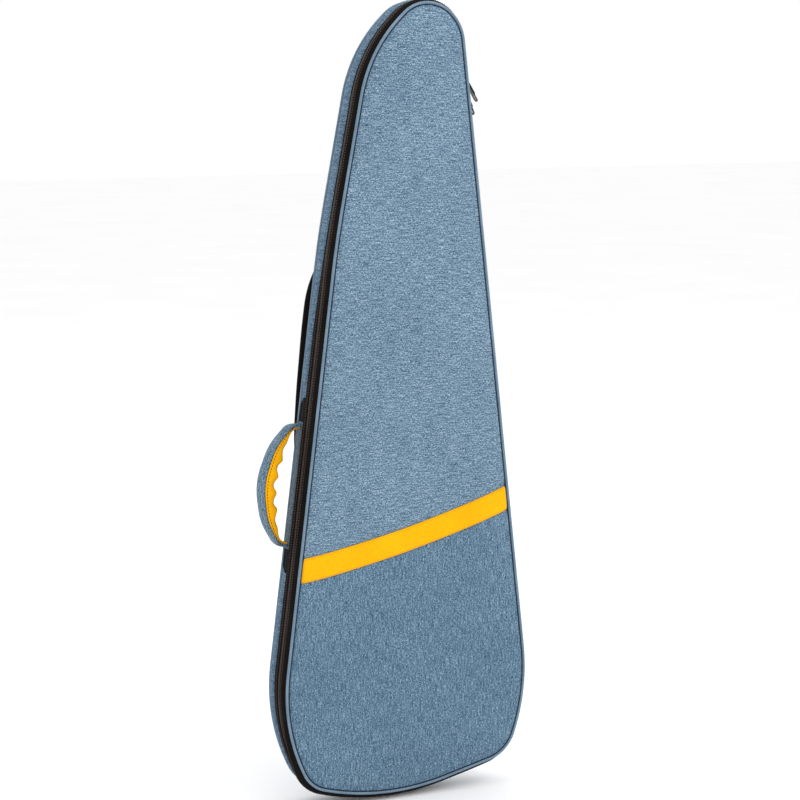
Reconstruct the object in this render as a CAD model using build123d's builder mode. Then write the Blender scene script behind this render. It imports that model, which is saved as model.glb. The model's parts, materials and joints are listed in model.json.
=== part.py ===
from build123d import *
import math
import os

os.makedirs("parts", exist_ok=True)

# Padded gig bag for a solid-body electric guitar.
# Bag coordinates: X across the bag (front view's right is +X), Y depth (front panel at -Y),
# Z up from the bottom of the bag. The part's origin is the inside of the grab loop's top,
# where the bag hangs, and every plane below is placed from it.

# ---------------------------------------------------------------- driving dimensions (mm)
BAG_CORNERS = [(-28.5, -9.6), (149.5, 34.0), (178.1, 122.7), (76.2, 1000.8), (25.0, 1047.9),
               (-56.8, 968.1), (-101.7, 730.9), (-179.3, 110.7), (-140.3, 21.0)]
BAG_RADII = [333.0, 53.4, 270.9, 57.0, 50.0, 186.0, 1500.0, 245.3, 47.7]
HALF_DEPTH = 31.5            # front and back panel faces at -/+ this
PIPING_R = 2.5
SKIN = 1.2                   # outer fabric with its backing
FOAM = 8.0                   # panel foam
LINING = 0.8
PANEL_INSET = 5.2            # panel edge, behind the piping
GUSSET_OUT = 2.2             # gusset cloth, in from the outermost line of the piping
GUSSET_FOAM = 6.0
TAPE = 1.2
TEETH_OUT, TEETH_IN = 0.3, 2.1
SEAM_Y = -7.6                # middle of the zipper chain
CHAIN_GAP = 0.7              # half the slot between the two rows of teeth
CHAIN_HALF = 3.9             # half the width of the chain
TAPE_REAR_Y = 10.0
HINGE_Y = -21.35
ZIP_LOW, ZIP_HIGH, ZIP_PARK = 64.0, 786.0, 846.0   # along the hinge side, from its lower corner
SLIDER_LOW, SLIDER_HIGH = 798.6, 819.8
LOOP_X, LOOP_Y, LOOP_Z = -8.0, 35.4, 742.0
BAND_LOW, BAND_HIGH = 667.0, 706.0
HANDLE_Z, HANDLE_Y, HANDLE_HALF, HANDLE_REACH = 413.5, 17.0, 81.0, 51.0
HANDLE_AXIS_D = 3.7
STRAP_PATH = [(34.0, 700.0), (84.0, 690.0), (110.0, 652.0), (113.0, 600.0), (111.0, 540.0),
              (105.0, 480.0), (98.0, 425.0), (94.0, 402.0)]
STRAP_PLAN = [(9, 716), (18, 540), (21, 440), (25, 397), (95, 397), (99, 440), (88, 540), (69, 716)]
STRAP_PLAN_R = [0, 700, 120, 27, 27, 120, 700, 0]
STRAP_T = 4.7                # half the pad's thickness
STRAP_BIND = 6.0
BUCKLE_X = 60.0              # from the middle of the straps
WEB = 32.0
WEB_T = 1.5
ANCHOR = (134.0, 40.0, 125.0)
TAIL_LEN_RIGHT, TAIL_LEN_LEFT = 215.0, 160.0

OX, OY, OZ = -LOOP_X, -LOOP_Y, -LOOP_Z


def xz(y):
    """Plane facing -Y at depth y, local x = X and local y = Z, in bag coordinates."""
    return Plane(origin=(OX, y + OY, OZ), x_dir=(1, 0, 0), z_dir=(0, -1, 0))


def yz(x):
    """Plane facing +X at x from the middle of the straps, local x = Y and local y = Z."""
    return Plane(origin=(x, OY, OZ), x_dir=(0, 1, 0), z_dir=(1, 0, 0))


def unit(a, b):
    length = math.hypot(b[0] - a[0], b[1] - a[1])
    return ((b[0] - a[0]) / length, (b[1] - a[1]) / length)


def shifted(points, amount, closed):
    """Moves a polyline to its left by an amount, keeping its edges parallel."""
    n = len(points)
    out = []
    for i, p in enumerate(points):
        a = points[i - 1] if (closed or i > 0) else None
        b = points[(i + 1) % n] if (closed or i < n - 1) else None
        if a is None:
            t = unit(p, b)
            out.append((p[0] - t[1] * amount, p[1] + t[0] * amount))
        elif b is None:
            t = unit(a, p)
            out.append((p[0] - t[1] * amount, p[1] + t[0] * amount))
        else:
            t, s = unit(a, p), unit(p, b)
            m = (-(t[1] + s[1]), t[0] + s[0])
            k = amount / (0.5 * (m[0] ** 2 + m[1] ** 2))
            out.append((p[0] + m[0] * k, p[1] + m[1] * k))
    return out


def rounded(points, radii, amount=0.0, closed=True):
    """Lines and arcs of a rounded polyline, moved to its left by an amount."""
    pts = shifted(points, amount, closed)
    n = len(pts)
    stops = []
    for i, p in enumerate(pts):
        if not closed and i in (0, n - 1):
            stops.append((p, None, p))
            continue
        t, s = unit(pts[i - 1], p), unit(p, pts[(i + 1) % n])
        turn = math.atan2(t[0] * s[1] - t[1] * s[0], t[0] * s[0] + t[1] * s[1])
        r = radii[i] - amount * (1 if turn > 0 else -1) if radii[i] > 0 else 0.0
        if r <= 0.05 or abs(turn) < 1e-4:
            stops.append((p, None, p))
            continue
        cut = r * math.tan(abs(turn) / 2)
        bis = (s[0] - t[0], s[1] - t[1])
        length = math.hypot(*bis)
        bis = (bis[0] / length, bis[1] / length)
        deep = r / math.cos(turn / 2) - r
        stops.append(((p[0] - t[0] * cut, p[1] - t[1] * cut), (p[0] + bis[0] * deep, p[1] + bis[1] * deep),
                      (p[0] + s[0] * cut, p[1] + s[1] * cut)))
    segs = []
    for i, stop in enumerate(stops):
        if stop[1] is not None:
            segs.append(stop)
        if i < n - 1 or closed:
            nxt = stops[(i + 1) % n][0]
            if math.dist(stop[2], nxt) > 1e-4:
                segs.append((stop[2], None, nxt))
    return segs


def draw(segs):
    """Draws lines and arcs in the current line builder."""
    for a, m, b in segs:
        if m is None:
            Line(a, b)
        else:
            ThreePointArc(a, m, b)


def reverse(segs):
    return [(b, m, a) for a, m, b in reversed(segs)]


def auto_radii(points, share=0.45):
    """The largest comfortable arc at each inner corner of an open polyline."""
    radii = [0.0] * len(points)
    for i in range(1, len(points) - 1):
        t, s = unit(points[i - 1], points[i]), unit(points[i], points[i + 1])
        turn = abs(math.atan2(t[0] * s[1] - t[1] * s[0], t[0] * s[0] + t[1] * s[1]))
        shorter = min(math.dist(points[i - 1], points[i]), math.dist(points[i], points[i + 1]))
        radii[i] = share * shorter / math.tan(turn / 2)
    return radii


def closed_face(segs):
    """Flat face inside a closed run of lines and arcs, on the XY plane."""
    with BuildSketch(Plane.XY) as flat:
        with BuildLine():
            draw(segs)
        make_face()
    return flat.sketch_local


def polygon_face(*points):
    """Flat face inside straight lines, on the XY plane."""
    with BuildSketch(Plane.XY) as flat:
        with BuildLine():
            Polyline(*points, close=True)
        make_face()
    return flat.sketch_local


def bag_face(inset):
    """Face of the bag's outline, moved inwards."""
    return closed_face(rounded(BAG_CORNERS, BAG_RADII, inset))


def ribbon_face(points, low, high):
    """Side profile of a layer between two distances to the left of an open path."""
    radii = auto_radii(points)
    near, far = rounded(points, radii, low, False), rounded(points, radii, high, False)
    return closed_face(near + [(near[-1][2], None, far[-1][2])] + reverse(far) + [(far[0][0], None, near[0][0])])


# the straight, un-zipped side, from its lower corner upwards
SIDE_A, SIDE_B = BAG_CORNERS[2], BAG_CORNERS[3]
SIDE_U = unit(SIDE_A, SIDE_B)
SIDE_N = (SIDE_U[1], -SIDE_U[0])


def side(s, d):
    """Point at a distance s up the hinge side and d outwards, in bag X and Z."""
    return (SIDE_A[0] + SIDE_U[0] * s + SIDE_N[0] * d, SIDE_A[1] + SIDE_U[1] * s + SIDE_N[1] * d)


def side_zone(low, high):
    """The stretch of the hinge side between two heights."""
    return polygon_face(side(low, -55), side(low, 55), side(high, 55), side(high, -55))


def ring_face(outer, inner):
    """Face between two insets of the bag's outline."""
    with BuildSketch(Plane.XY) as flat:
        add(bag_face(outer))
        add(bag_face(inner), mode=Mode.SUBTRACT)
    return flat.sketch_local


# ---------------------------------------------------------------- back panel
with BuildPart() as back_panel_fabric:
    with BuildSketch(xz(HALF_DEPTH)):
        add(bag_face(PANEL_INSET))
    extrude(amount=SKIN)

with BuildPart() as back_panel_foam:
    with BuildSketch(xz(HALF_DEPTH - SKIN)):
        add(bag_face(PANEL_INSET))
    extrude(amount=FOAM)

with BuildPart() as back_panel_lining:
    with BuildSketch(xz(HALF_DEPTH - SKIN - FOAM)):
        add(bag_face(PANEL_INSET))
    extrude(amount=LINING)

INNER_Y = HALF_DEPTH - SKIN - FOAM - LINING      # 21.5

# ---------------------------------------------------------------- piping
with BuildPart() as back_piping:
    with BuildLine(xz(HALF_DEPTH - PIPING_R)) as back_bead:
        draw(rounded(BAG_CORNERS, BAG_RADII, PIPING_R))
    with BuildSketch(Plane(origin=back_bead.line @ 0, z_dir=back_bead.line % 0)):
        Circle(PIPING_R)
    sweep()

with BuildPart() as front_piping:
    with BuildLine(xz(-HALF_DEPTH + PIPING_R)) as front_bead:
        draw(rounded(BAG_CORNERS, BAG_RADII, PIPING_R))
    with BuildSketch(Plane(origin=front_bead.line @ 0, z_dir=front_bead.line % 0)):
        Circle(PIPING_R)
    sweep()

EDGE_Y = HALF_DEPTH - 2 * PIPING_R - 0.1         # gusset cloth ends just inside the piping

# ---------------------------------------------------------------- gusset, zipper side
CLOTH_IN = GUSSET_OUT + TAPE
FOAM_IN = CLOTH_IN + 0.1 + GUSSET_FOAM
GUSSET_FRONT_Y = SEAM_Y + 6.0                    # padding stops clear of the sliders' rear plates

with BuildPart() as gusset_zip_side_fabric:
    with BuildSketch(xz(EDGE_Y)):
        add(ring_face(GUSSET_OUT, CLOTH_IN))
        add(side_zone(ZIP_LOW + 0.5, ZIP_HIGH - 0.5), mode=Mode.SUBTRACT)
    extrude(amount=EDGE_Y - TAPE_REAR_Y)

with BuildPart() as gusset_zip_side_foam:
    with BuildSketch(xz(INNER_Y)):
        add(ring_face(CLOTH_IN + 0.1, FOAM_IN))
        add(side_zone(ZIP_LOW + 0.5, ZIP_HIGH - 0.5), mode=Mode.SUBTRACT)
    extrude(amount=INNER_Y - GUSSET_FRONT_Y)

with BuildPart() as gusset_zip_side_lining:
    with BuildSketch(xz(INNER_Y)):
        add(ring_face(FOAM_IN + 0.1, FOAM_IN + 0.1 + LINING))
        add(side_zone(ZIP_LOW + 0.5, ZIP_HIGH - 0.5), mode=Mode.SUBTRACT)
    extrude(amount=INNER_Y - GUSSET_FRONT_Y)

# ---------------------------------------------------------------- gusset, hinge side
with BuildPart() as gusset_hinge_side_fabric:
    with BuildSketch(xz(EDGE_Y)):
        add(ring_face(GUSSET_OUT, CLOTH_IN))
        add(side_zone(ZIP_LOW + 0.5, ZIP_HIGH - 0.5), mode=Mode.INTERSECT)
    extrude(amount=EDGE_Y - HINGE_Y - 0.15)

with BuildPart() as gusset_hinge_side_foam:
    with BuildSketch(xz(INNER_Y)):
        add(ring_face(CLOTH_IN + 0.1, FOAM_IN))
        add(side_zone(ZIP_LOW + 0.5, ZIP_HIGH - 0.5), mode=Mode.INTERSECT)
    extrude(amount=INNER_Y - HINGE_Y - 0.15)

with BuildPart() as gusset_hinge_side_lining:
    with BuildSketch(xz(INNER_Y)):
        add(ring_face(FOAM_IN + 0.1, FOAM_IN + 0.1 + LINING))
        add(side_zone(ZIP_LOW + 0.5, ZIP_HIGH - 0.5), mode=Mode.INTERSECT)
    extrude(amount=INNER_Y - HINGE_Y - 0.15)

# ---------------------------------------------------------------- zipper, body side
with BuildPart() as zipper_tape_rear:
    with BuildSketch(xz(TAPE_REAR_Y)):
        add(ring_face(GUSSET_OUT, CLOTH_IN))
        add(side_zone(ZIP_LOW, ZIP_PARK), mode=Mode.SUBTRACT)
    extrude(amount=TAPE_REAR_Y - (SEAM_Y + CHAIN_GAP))

with BuildPart() as zipper_teeth_rear:
    with BuildSketch(xz(SEAM_Y + CHAIN_HALF)):
        add(ring_face(TEETH_OUT, TEETH_IN))
        add(side_zone(ZIP_LOW, ZIP_PARK), mode=Mode.SUBTRACT)
    extrude(amount=CHAIN_HALF - CHAIN_GAP)

# the closed stretch under the parked sliders, sewn to the body
with BuildPart() as zipper_parked_tape:
    with BuildSketch(xz(TAPE_REAR_Y)):
        add(ring_face(GUSSET_OUT, CLOTH_IN))
        add(side_zone(ZIP_HIGH, ZIP_PARK - 0.5), mode=Mode.INTERSECT)
    extrude(amount=TAPE_REAR_Y - (SEAM_Y + CHAIN_GAP))
    with BuildSketch(xz(SEAM_Y - CHAIN_GAP)):
        add(ring_face(GUSSET_OUT, CLOTH_IN))
        add(side_zone(ZIP_HIGH, ZIP_PARK - 0.5), mode=Mode.INTERSECT)
    extrude(amount=SEAM_Y - CHAIN_GAP - HINGE_Y - 0.15)

with BuildPart() as zipper_parked_teeth:
    with BuildSketch(xz(SEAM_Y + CHAIN_HALF)):
        add(ring_face(TEETH_OUT, TEETH_IN))
        add(side_zone(ZIP_HIGH + 4, ZIP_PARK - 0.5), mode=Mode.INTERSECT)
    extrude(amount=CHAIN_HALF - CHAIN_GAP)
    with BuildSketch(xz(SEAM_Y - CHAIN_GAP)):
        add(ring_face(TEETH_OUT, TEETH_IN))
        add(side_zone(ZIP_HIGH + 4, ZIP_PARK - 0.5), mode=Mode.INTERSECT)
    extrude(amount=CHAIN_HALF - CHAIN_GAP)

with BuildPart() as zipper_end_stops:
    with BuildSketch(xz(SEAM_Y + CHAIN_HALF)):
        add(ring_face(TEETH_OUT, TEETH_IN))
        add(side_zone(ZIP_HIGH + 0.8, ZIP_HIGH + 3.8), mode=Mode.INTERSECT)
    extrude(amount=2 * CHAIN_HALF)

# ---------------------------------------------------------------- lid
BAND_TOP_L, BAND_TOP_M, BAND_TOP_R = (-200.0, 318.6), (-2.5, 356.3), (200.0, 420.9)
BAND_W = 31.0

with BuildPart() as front_panel_upper:
    with BuildSketch(xz(-HALF_DEPTH + SKIN)):
        add(bag_face(PANEL_INSET))
        with BuildLine():
            ThreePointArc(BAND_TOP_L, BAND_TOP_M, BAND_TOP_R)
            Polyline(BAND_TOP_R, (200, 1100), (-200, 1100), BAND_TOP_L)
        make_face(mode=Mode.INTERSECT)
    extrude(amount=SKIN)

with BuildPart() as front_band:
    with BuildSketch(xz(-HALF_DEPTH + SKIN)):
        add(bag_face(PANEL_INSET))
        with BuildLine():
            ThreePointArc(BAND_TOP_L, BAND_TOP_M, BAND_TOP_R)
            Line(BAND_TOP_R, (200, 420.9 - BAND_W))
            ThreePointArc((200, 420.9 - BAND_W), (-2.5, 356.3 - BAND_W), (-200, 318.6 - BAND_W))
            Line((-200, 318.6 - BAND_W), BAND_TOP_L)
        make_face(mode=Mode.INTERSECT)
    extrude(amount=SKIN)

with BuildPart() as front_panel_lower:
    with BuildSketch(xz(-HALF_DEPTH + SKIN)):
        add(bag_face(PANEL_INSET))
        with BuildLine():
            ThreePointArc((200, 420.9 - BAND_W), (-2.5, 356.3 - BAND_W), (-200, 318.6 - BAND_W))
            Polyline((-200, 318.6 - BAND_W), (-200, -100), (200, -100), (200, 420.9 - BAND_W))
        make_face(mode=Mode.INTERSECT)
    extrude(amount=SKIN)

with BuildPart() as front_panel_foam:
    with BuildSketch(xz(-HALF_DEPTH + SKIN + FOAM)):
        add(bag_face(PANEL_INSET))
    extrude(amount=FOAM)

with BuildPart() as front_panel_lining:
    with BuildSketch(xz(-INNER_Y)):
        add(bag_face(PANEL_INSET))
    extrude(amount=LINING)

with BuildPart() as zipper_tape_front:
    with BuildSketch(xz(SEAM_Y - CHAIN_GAP)):
        add(ring_face(GUSSET_OUT, CLOTH_IN + 0.8))
        add(side_zone(ZIP_LOW - 0.5, ZIP_PARK + 0.5), mode=Mode.SUBTRACT)
    extrude(amount=SEAM_Y - CHAIN_GAP + EDGE_Y)

with BuildPart() as zipper_teeth_front:
    with BuildSketch(xz(SEAM_Y - CHAIN_GAP)):
        add(ring_face(TEETH_OUT, TEETH_IN))
        add(side_zone(ZIP_LOW - 0.5, ZIP_PARK + 0.5), mode=Mode.SUBTRACT)
    extrude(amount=CHAIN_HALF - CHAIN_GAP)

# ---------------------------------------------------------------- sliders and pulls
def slider_plane(s, d, y=SEAM_Y):
    """Plane lying on the hinge side: local x runs up it, local z points outwards."""
    x, z = side(s, d)
    return Plane(origin=(x + OX, y + OY, z + OZ), x_dir=(SIDE_U[0], 0, SIDE_U[1]), z_dir=(SIDE_N[0], 0, SIDE_N[1]))


def slider_side_plane(s, y):
    """Plane facing -Y: local x runs down the hinge side and local y points outwards."""
    x, z = side(s, 0)
    return Plane(origin=(x + OX, y + OY, z + OZ), x_dir=(-SIDE_U[0], 0, -SIDE_U[1]), z_dir=(0, -1, 0))


TOP_LOW, TOP_HIGH = 0.1, 1.8
BOT_HIGH, BOT_LOW = -3.7, -5.2


SHIELD = [(-7, -4.2), (0, -5.6), (7, -5.6), (7, 5.6), (0, 5.6), (-7, 4.2)]
BRIDGE_OUT = [(5.6, 1.2), (5.6, 6.5), (-5.6, 6.5), (-5.6, 1.2)]
BRIDGE_IN = [(4.2, 1.8), (4.2, 5.1), (-4.2, 5.1), (-4.2, 1.8)]
PIN_X, PIN_D, PIN_R = 4.9, 4.2, 0.65              # pull tab's pin in the lower end of the bridge

sliders = {}
for node, s in (("upper_slider", SLIDER_HIGH), ("lower_slider", SLIDER_LOW)):
    with BuildPart() as slider:
        with BuildSketch(slider_plane(s, TOP_LOW)):
            add(polygon_face(*SHIELD))
        extrude(amount=TOP_HIGH - TOP_LOW)
        with BuildSketch(slider_plane(s, BOT_LOW)):
            add(polygon_face(*SHIELD))
        extrude(amount=BOT_HIGH - BOT_LOW)
        with BuildSketch(slider_plane(s, BOT_HIGH - 0.5)):
            with Locations((4.4, 0)):
                Rectangle(3.6, 0.7)
        extrude(amount=TOP_LOW - BOT_HIGH + 1.0)
        with BuildSketch(slider_side_plane(s, SEAM_Y + 2.8)):
            add(closed_face(rounded(BRIDGE_OUT, [0, 3.2, 3.2, 0])))
            add(closed_face(rounded(BRIDGE_IN, [0, 2.0, 2.0, 0])), mode=Mode.SUBTRACT)
        extrude(amount=5.6)
        with BuildSketch(slider_side_plane(s, SEAM_Y + 1.75)):
            add(polygon_face((1.2, 1.82), (7.5, 1.82), (7.5, 8), (1.2, 8)))
        extrude(amount=3.5, mode=Mode.SUBTRACT)
        with BuildSketch(slider_side_plane(s, SEAM_Y + 2.2)):
            with Locations((PIN_X, PIN_D)):
                Circle(PIN_R)
        extrude(amount=4.4)
    sliders[node] = slider

PIVOT_S, PIVOT_D = -PIN_X, PIN_D        # the tab's pin, from the slider's middle
TAB_TILT_UP, TAB_TILT_LOW = 24.0, 16.0


def tab_plane(s, tilt):
    """Plane of a pull tab: origin at its pivot, local x down the tab, local z outwards."""
    x, z = side(s + PIVOT_S, PIVOT_D)
    a = math.radians(tilt)
    down = (-SIDE_U[0] * math.cos(a) + SIDE_N[0] * math.sin(a), -SIDE_U[1] * math.cos(a) + SIDE_N[1] * math.sin(a))
    out = (SIDE_N[0] * math.cos(a) + SIDE_U[0] * math.sin(a), SIDE_N[1] * math.cos(a) + SIDE_U[1] * math.sin(a))
    return Plane(origin=(x + OX, SEAM_Y + OY, z + OZ), x_dir=(down[0], 0, down[1]), z_dir=(out[0], 0, out[1]))


def tab_side_plane(s, tilt, y):
    """Plane facing -Y at a tab's pivot."""
    x, z = side(s + PIVOT_S, PIVOT_D)
    return Plane(origin=(x + OX, y + OY, z + OZ), x_dir=(1, 0, 0), z_dir=(0, -1, 0))


pulls = {}
for node, s, tilt, length in (("upper_pull_tab", SLIDER_HIGH, TAB_TILT_UP, 36.0),
                              ("lower_pull_tab", SLIDER_LOW, TAB_TILT_LOW, 29.0)):
    outline = [(1.2, -1.4), (3.4, -1.4), (5.4, -2.7), (length * 0.62, -4.2), (length, -4.4), (length, 4.4),
               (length * 0.62, 4.2), (5.4, 2.7), (3.4, 1.4), (1.2, 1.4)]
    with BuildPart() as pull:
        with BuildSketch(tab_plane(s, tilt).offset(-0.8)):
            add(closed_face(rounded(outline, [0, 1.0, 1.5, 8, 4.0, 4.0, 8, 1.5, 1.0, 0])))
            with Locations((length - 6.0, 0)):
                SlotOverall(8.6, 4.6, mode=Mode.SUBTRACT)
        extrude(amount=1.6)
        with BuildSketch(tab_side_plane(s, tilt, SEAM_Y + 1.4)):
            Circle(1.9)
        extrude(amount=2.8)
        with BuildSketch(tab_side_plane(s, tilt, SEAM_Y + 1.4)):
            Circle(0.95)
        extrude(amount=2.8, mode=Mode.SUBTRACT)
    pulls[node] = pull

# ---------------------------------------------------------------- carry handle
LEFT_A, LEFT_B = BAG_CORNERS[7], BAG_CORNERS[6]
LEFT_U = unit(LEFT_A, LEFT_B)
HANDLE_X = LEFT_A[0] + (HANDLE_Z - LEFT_A[1]) * LEFT_U[0] / LEFT_U[1]
LEFT_N = (-LEFT_U[1], LEFT_U[0])


def handle_side(y):
    """Plane facing -Y: local x up the bag's left side, local y outwards from it."""
    return Plane(origin=(HANDLE_X + OX, y + OY, HANDLE_Z + OZ), x_dir=(LEFT_U[0], 0, LEFT_U[1]), z_dir=(0, -1, 0))


def handle_end(s):
    """Plane across the handle: local x = Y, local y outwards."""
    return Plane(origin=(HANDLE_X + OX + LEFT_U[0] * s, HANDLE_Y + OY, HANDLE_Z + OZ + LEFT_U[1] * s),
                 x_dir=(0, 1, 0), z_dir=(LEFT_U[0], 0, LEFT_U[1]))


with BuildPart() as handle_patch:
    with BuildSketch(handle_side(EDGE_Y - 0.3)):
        with Locations((0, -GUSSET_OUT + 0.55)):
            Rectangle(229, 1.0)
    extrude(amount=EDGE_Y - 0.3 - TAPE_REAR_Y - 0.3)

with BuildPart() as handle_base:
    with BuildSketch(handle_side(HANDLE_Y + 8.5)):
        with Locations((0, -GUSSET_OUT + 1.05 + 0.6)):
            Rectangle(166, 1.2)
    extrude(amount=17)

def crescent(half, reach, foot):
    """Right half and left half of an arch line, from one sewn end to the other."""
    right = [(half, foot), (half * 0.975, reach * 0.34), (half * 0.62, reach * 0.77)]
    return right + [(0.0, reach * 1.02)] + [(-x, d) for x, d in reversed(right)]


COVER_OUT = crescent(HANDLE_HALF, HANDLE_REACH, 0.7)
COVER_IN = crescent(HANDLE_HALF - 5.0, HANDLE_REACH - 9.0, 0.7)
GRIP_OUT = crescent(HANDLE_HALF - 5.2, HANDLE_REACH - 9.2, 0.7)
GRIP_IN = crescent(HANDLE_HALF - 17.0, HANDLE_REACH - 25.5, 0.7)


def arch_face(outer, inner):
    """The handle's side view between two of its lines."""
    far = rounded(outer, auto_radii(outer), 0.0, False)
    near = rounded(inner, auto_radii(inner), 0.0, False)
    return closed_face(far + [(far[-1][2], None, near[-1][2])] + reverse(near) + [(near[0][0], None, far[0][0])])


HANDLE_FRONT = [(-3, HANDLE_AXIS_D), (3, HANDLE_AXIS_D), (9, HANDLE_AXIS_D + 16), (9, 70), (-9, 70),
                (-9, HANDLE_AXIS_D + 16)]

with BuildPart() as handle_cover:
    with BuildSketch(handle_side(HANDLE_Y + 12)):
        add(arch_face(COVER_OUT, COVER_IN))
    extrude(amount=24)
    with BuildSketch(handle_end(-100)):
        with Locations((0, HANDLE_AXIS_D)):
            Circle(3.0)
        add(polygon_face(*HANDLE_FRONT))
    extrude(amount=200, mode=Mode.INTERSECT)

with BuildPart() as handle_grip:
    with BuildSketch(handle_side(HANDLE_Y + 12)):
        add(arch_face(GRIP_OUT, GRIP_IN))
    extrude(amount=24)
    with BuildSketch(handle_end(-100)):
        with Locations((0, HANDLE_AXIS_D)):
            Circle(3.0)
        add(polygon_face(*HANDLE_FRONT))
    extrude(amount=200, mode=Mode.INTERSECT)

# ---------------------------------------------------------------- webbing band and grab loop
with BuildPart() as back_web_band:
    with BuildSketch(xz(HALF_DEPTH + WEB_T)):
        add(bag_face(PANEL_INSET))
        with BuildLine():
            Polyline((-200, BAND_LOW), (200, BAND_LOW), (200, BAND_HIGH), (-200, BAND_HIGH), close=True)
        make_face(mode=Mode.INTERSECT)
    extrude(amount=WEB_T - 0.02)

LOOP_LINE = [(22, 712), (51, 712), (44, 742), (12, 769), (-12, 769), (-44, 742), (-51, 712), (-22, 712),
             (-19, 728), (-8, LOOP_Z), (8, LOOP_Z), (19, 728)]
LOOP_R = [0, 0, 16, 14, 14, 16, 0, 0, 9, 7, 7, 9]

with BuildPart() as grab_loop:
    with BuildSketch(Plane(origin=(0, 1.2, OZ), x_dir=(1, 0, 0), z_dir=(0, -1, 0))):
        add(closed_face(rounded(LOOP_LINE, LOOP_R)))
    extrude(amount=2.4)

# ---------------------------------------------------------------- shoulder straps (+X side, then mirrored)
PAD_START = (54.0, 696.0)
ROOT_END = (53.0, 696.2)
PAD_PATH = [PAD_START] + STRAP_PATH[1:]
ROOT_PATH = [(34.2, 699.96), ROOT_END]


def plan_face(inset):
    """The strap pad seen from behind the bag, moved inwards."""
    return closed_face(rounded(STRAP_PLAN, STRAP_PLAN_R, inset))


def strap_plan_plane():
    return Plane(origin=(0, 200, OZ), x_dir=(1, 0, 0), z_dir=(0, -1, 0))


with BuildPart() as right_strap_root:
    with BuildSketch(yz(0)):
        add(ribbon_face(ROOT_PATH, -STRAP_T, STRAP_T))
    extrude(amount=110)
    with BuildSketch(strap_plan_plane()):
        add(plan_face(0))
    extrude(amount=300, mode=Mode.INTERSECT)

with BuildPart() as right_pad_fabric:
    with BuildSketch(yz(0)):
        add(ribbon_face(PAD_PATH, STRAP_T - SKIN, STRAP_T))
    extrude(amount=110)
    with BuildSketch(strap_plan_plane()):
        add(plan_face(STRAP_BIND))
    extrude(amount=300, mode=Mode.INTERSECT)

with BuildPart() as right_pad_foam:
    with BuildSketch(yz(0)):
        add(ribbon_face(PAD_PATH, -STRAP_T + 1.1, STRAP_T - SKIN - 0.1))
    extrude(amount=110)
    with BuildSketch(strap_plan_plane()):
        add(plan_face(STRAP_BIND))
    extrude(amount=300, mode=Mode.INTERSECT)

with BuildPart() as right_pad_backing:
    with BuildSketch(yz(0)):
        add(ribbon_face(PAD_PATH, -STRAP_T, -STRAP_T + 1.0))
    extrude(amount=110)
    with BuildSketch(strap_plan_plane()):
        add(plan_face(STRAP_BIND))
    extrude(amount=300, mode=Mode.INTERSECT)

with BuildPart() as right_pad_binding:
    with BuildSketch(yz(0)):
        add(ribbon_face(PAD_PATH, -STRAP_T, STRAP_T))
    extrude(amount=110)
    with BuildSketch(strap_plan_plane()):
        add(plan_face(0))
        add(plan_face(STRAP_BIND - 0.1), mode=Mode.SUBTRACT)
    extrude(amount=300, mode=Mode.INTERSECT)

# local frame at the pad's lower end: along the strap, and outwards from the bag
END = STRAP_PATH[-1]
END_D = unit(STRAP_PATH[-2], STRAP_PATH[-1])
END_N = (-END_D[1], END_D[0])


def end_point(along, off):
    return (END[0] + END_D[0] * along + END_N[0] * off, END[1] + END_D[1] * along + END_N[1] * off)


BAR_ALONG, BAR_OFF = 14.0, 3.0
BAR = end_point(BAR_ALONG, BAR_OFF)


def end_box(a0, a1, o0, o1):
    """Rectangle in the strap's side view, along it and outwards."""
    return polygon_face(end_point(a0, o0), end_point(a1, o0), end_point(a1, o1), end_point(a0, o1))


with BuildPart() as right_strap_tab:
    with BuildSketch(yz(BUCKLE_X - 15)):
        add(end_box(-32, BAR_ALONG, STRAP_T + 0.15, STRAP_T + 0.15 + WEB_T))
        with Locations(BAR):
            Circle(3.9)
        with Locations(BAR):
            Circle(2.3, mode=Mode.SUBTRACT)
    extrude(amount=30)


def lock_plane(off):
    """Plane of the ladder lock: local x across the strap, local y up it."""
    p = end_point(BAR_ALONG, off)
    return Plane(origin=(BUCKLE_X, p[0] + OY, p[1] + OZ), x_dir=(1, 0, 0), z_dir=(0, -END_N[0], -END_N[1]))


with BuildPart() as right_ladder_lock:
    with BuildSketch(lock_plane(BAR_OFF + 2.0)):
        add(closed_face(rounded([(-21.5, -39), (21.5, -39), (20.5, 3.0), (-20.5, 3.0)], [5, 5, 3, 3])))
        with Locations((0, -3.5)):
            Rectangle(32, 19, mode=Mode.SUBTRACT)
        with Locations((0, -24.5)):
            Rectangle(33.5, 15, mode=Mode.SUBTRACT)
    extrude(amount=4.0)
    with BuildSketch(yz(BUCKLE_X - 17)):
        with Locations(BAR):
            Circle(2.0)
    extrude(amount=34)

with BuildPart() as right_web_turn:
    with BuildSketch(yz(BUCKLE_X - WEB / 2)):
        add(end_box(BAR_ALONG + 11.3, BAR_ALONG + 18.7, BAR_OFF - 3.8, BAR_OFF + 3.8))
        add(end_box(BAR_ALONG + 12.8, BAR_ALONG + 17.2, BAR_OFF - 2.2, BAR_OFF + 2.2), mode=Mode.SUBTRACT)
        add(end_box(BAR_ALONG + 15, BAR_ALONG + 38, BAR_OFF - 3.8, BAR_OFF - 2.3))
        add(end_box(BAR_ALONG + 15, BAR_ALONG + 28, BAR_OFF + 2.3, BAR_OFF + 3.8))
    extrude(amount=WEB)

WEB_TOP = end_point(BAR_ALONG + 50, BAR_OFF - 3.0)
W0 = (BUCKLE_X, WEB_TOP[0], WEB_TOP[1])
W1 = ANCHOR
WL = math.dist(W0, W1)
WD = tuple((b - a) / WL for a, b in zip(W0, W1))
WN0 = (-WD[1] * WD[0], 1 - WD[1] * WD[1], -WD[1] * WD[2])
WNL = math.sqrt(sum(c * c for c in WN0))
WN = tuple(c / WNL for c in WN0)


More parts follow.
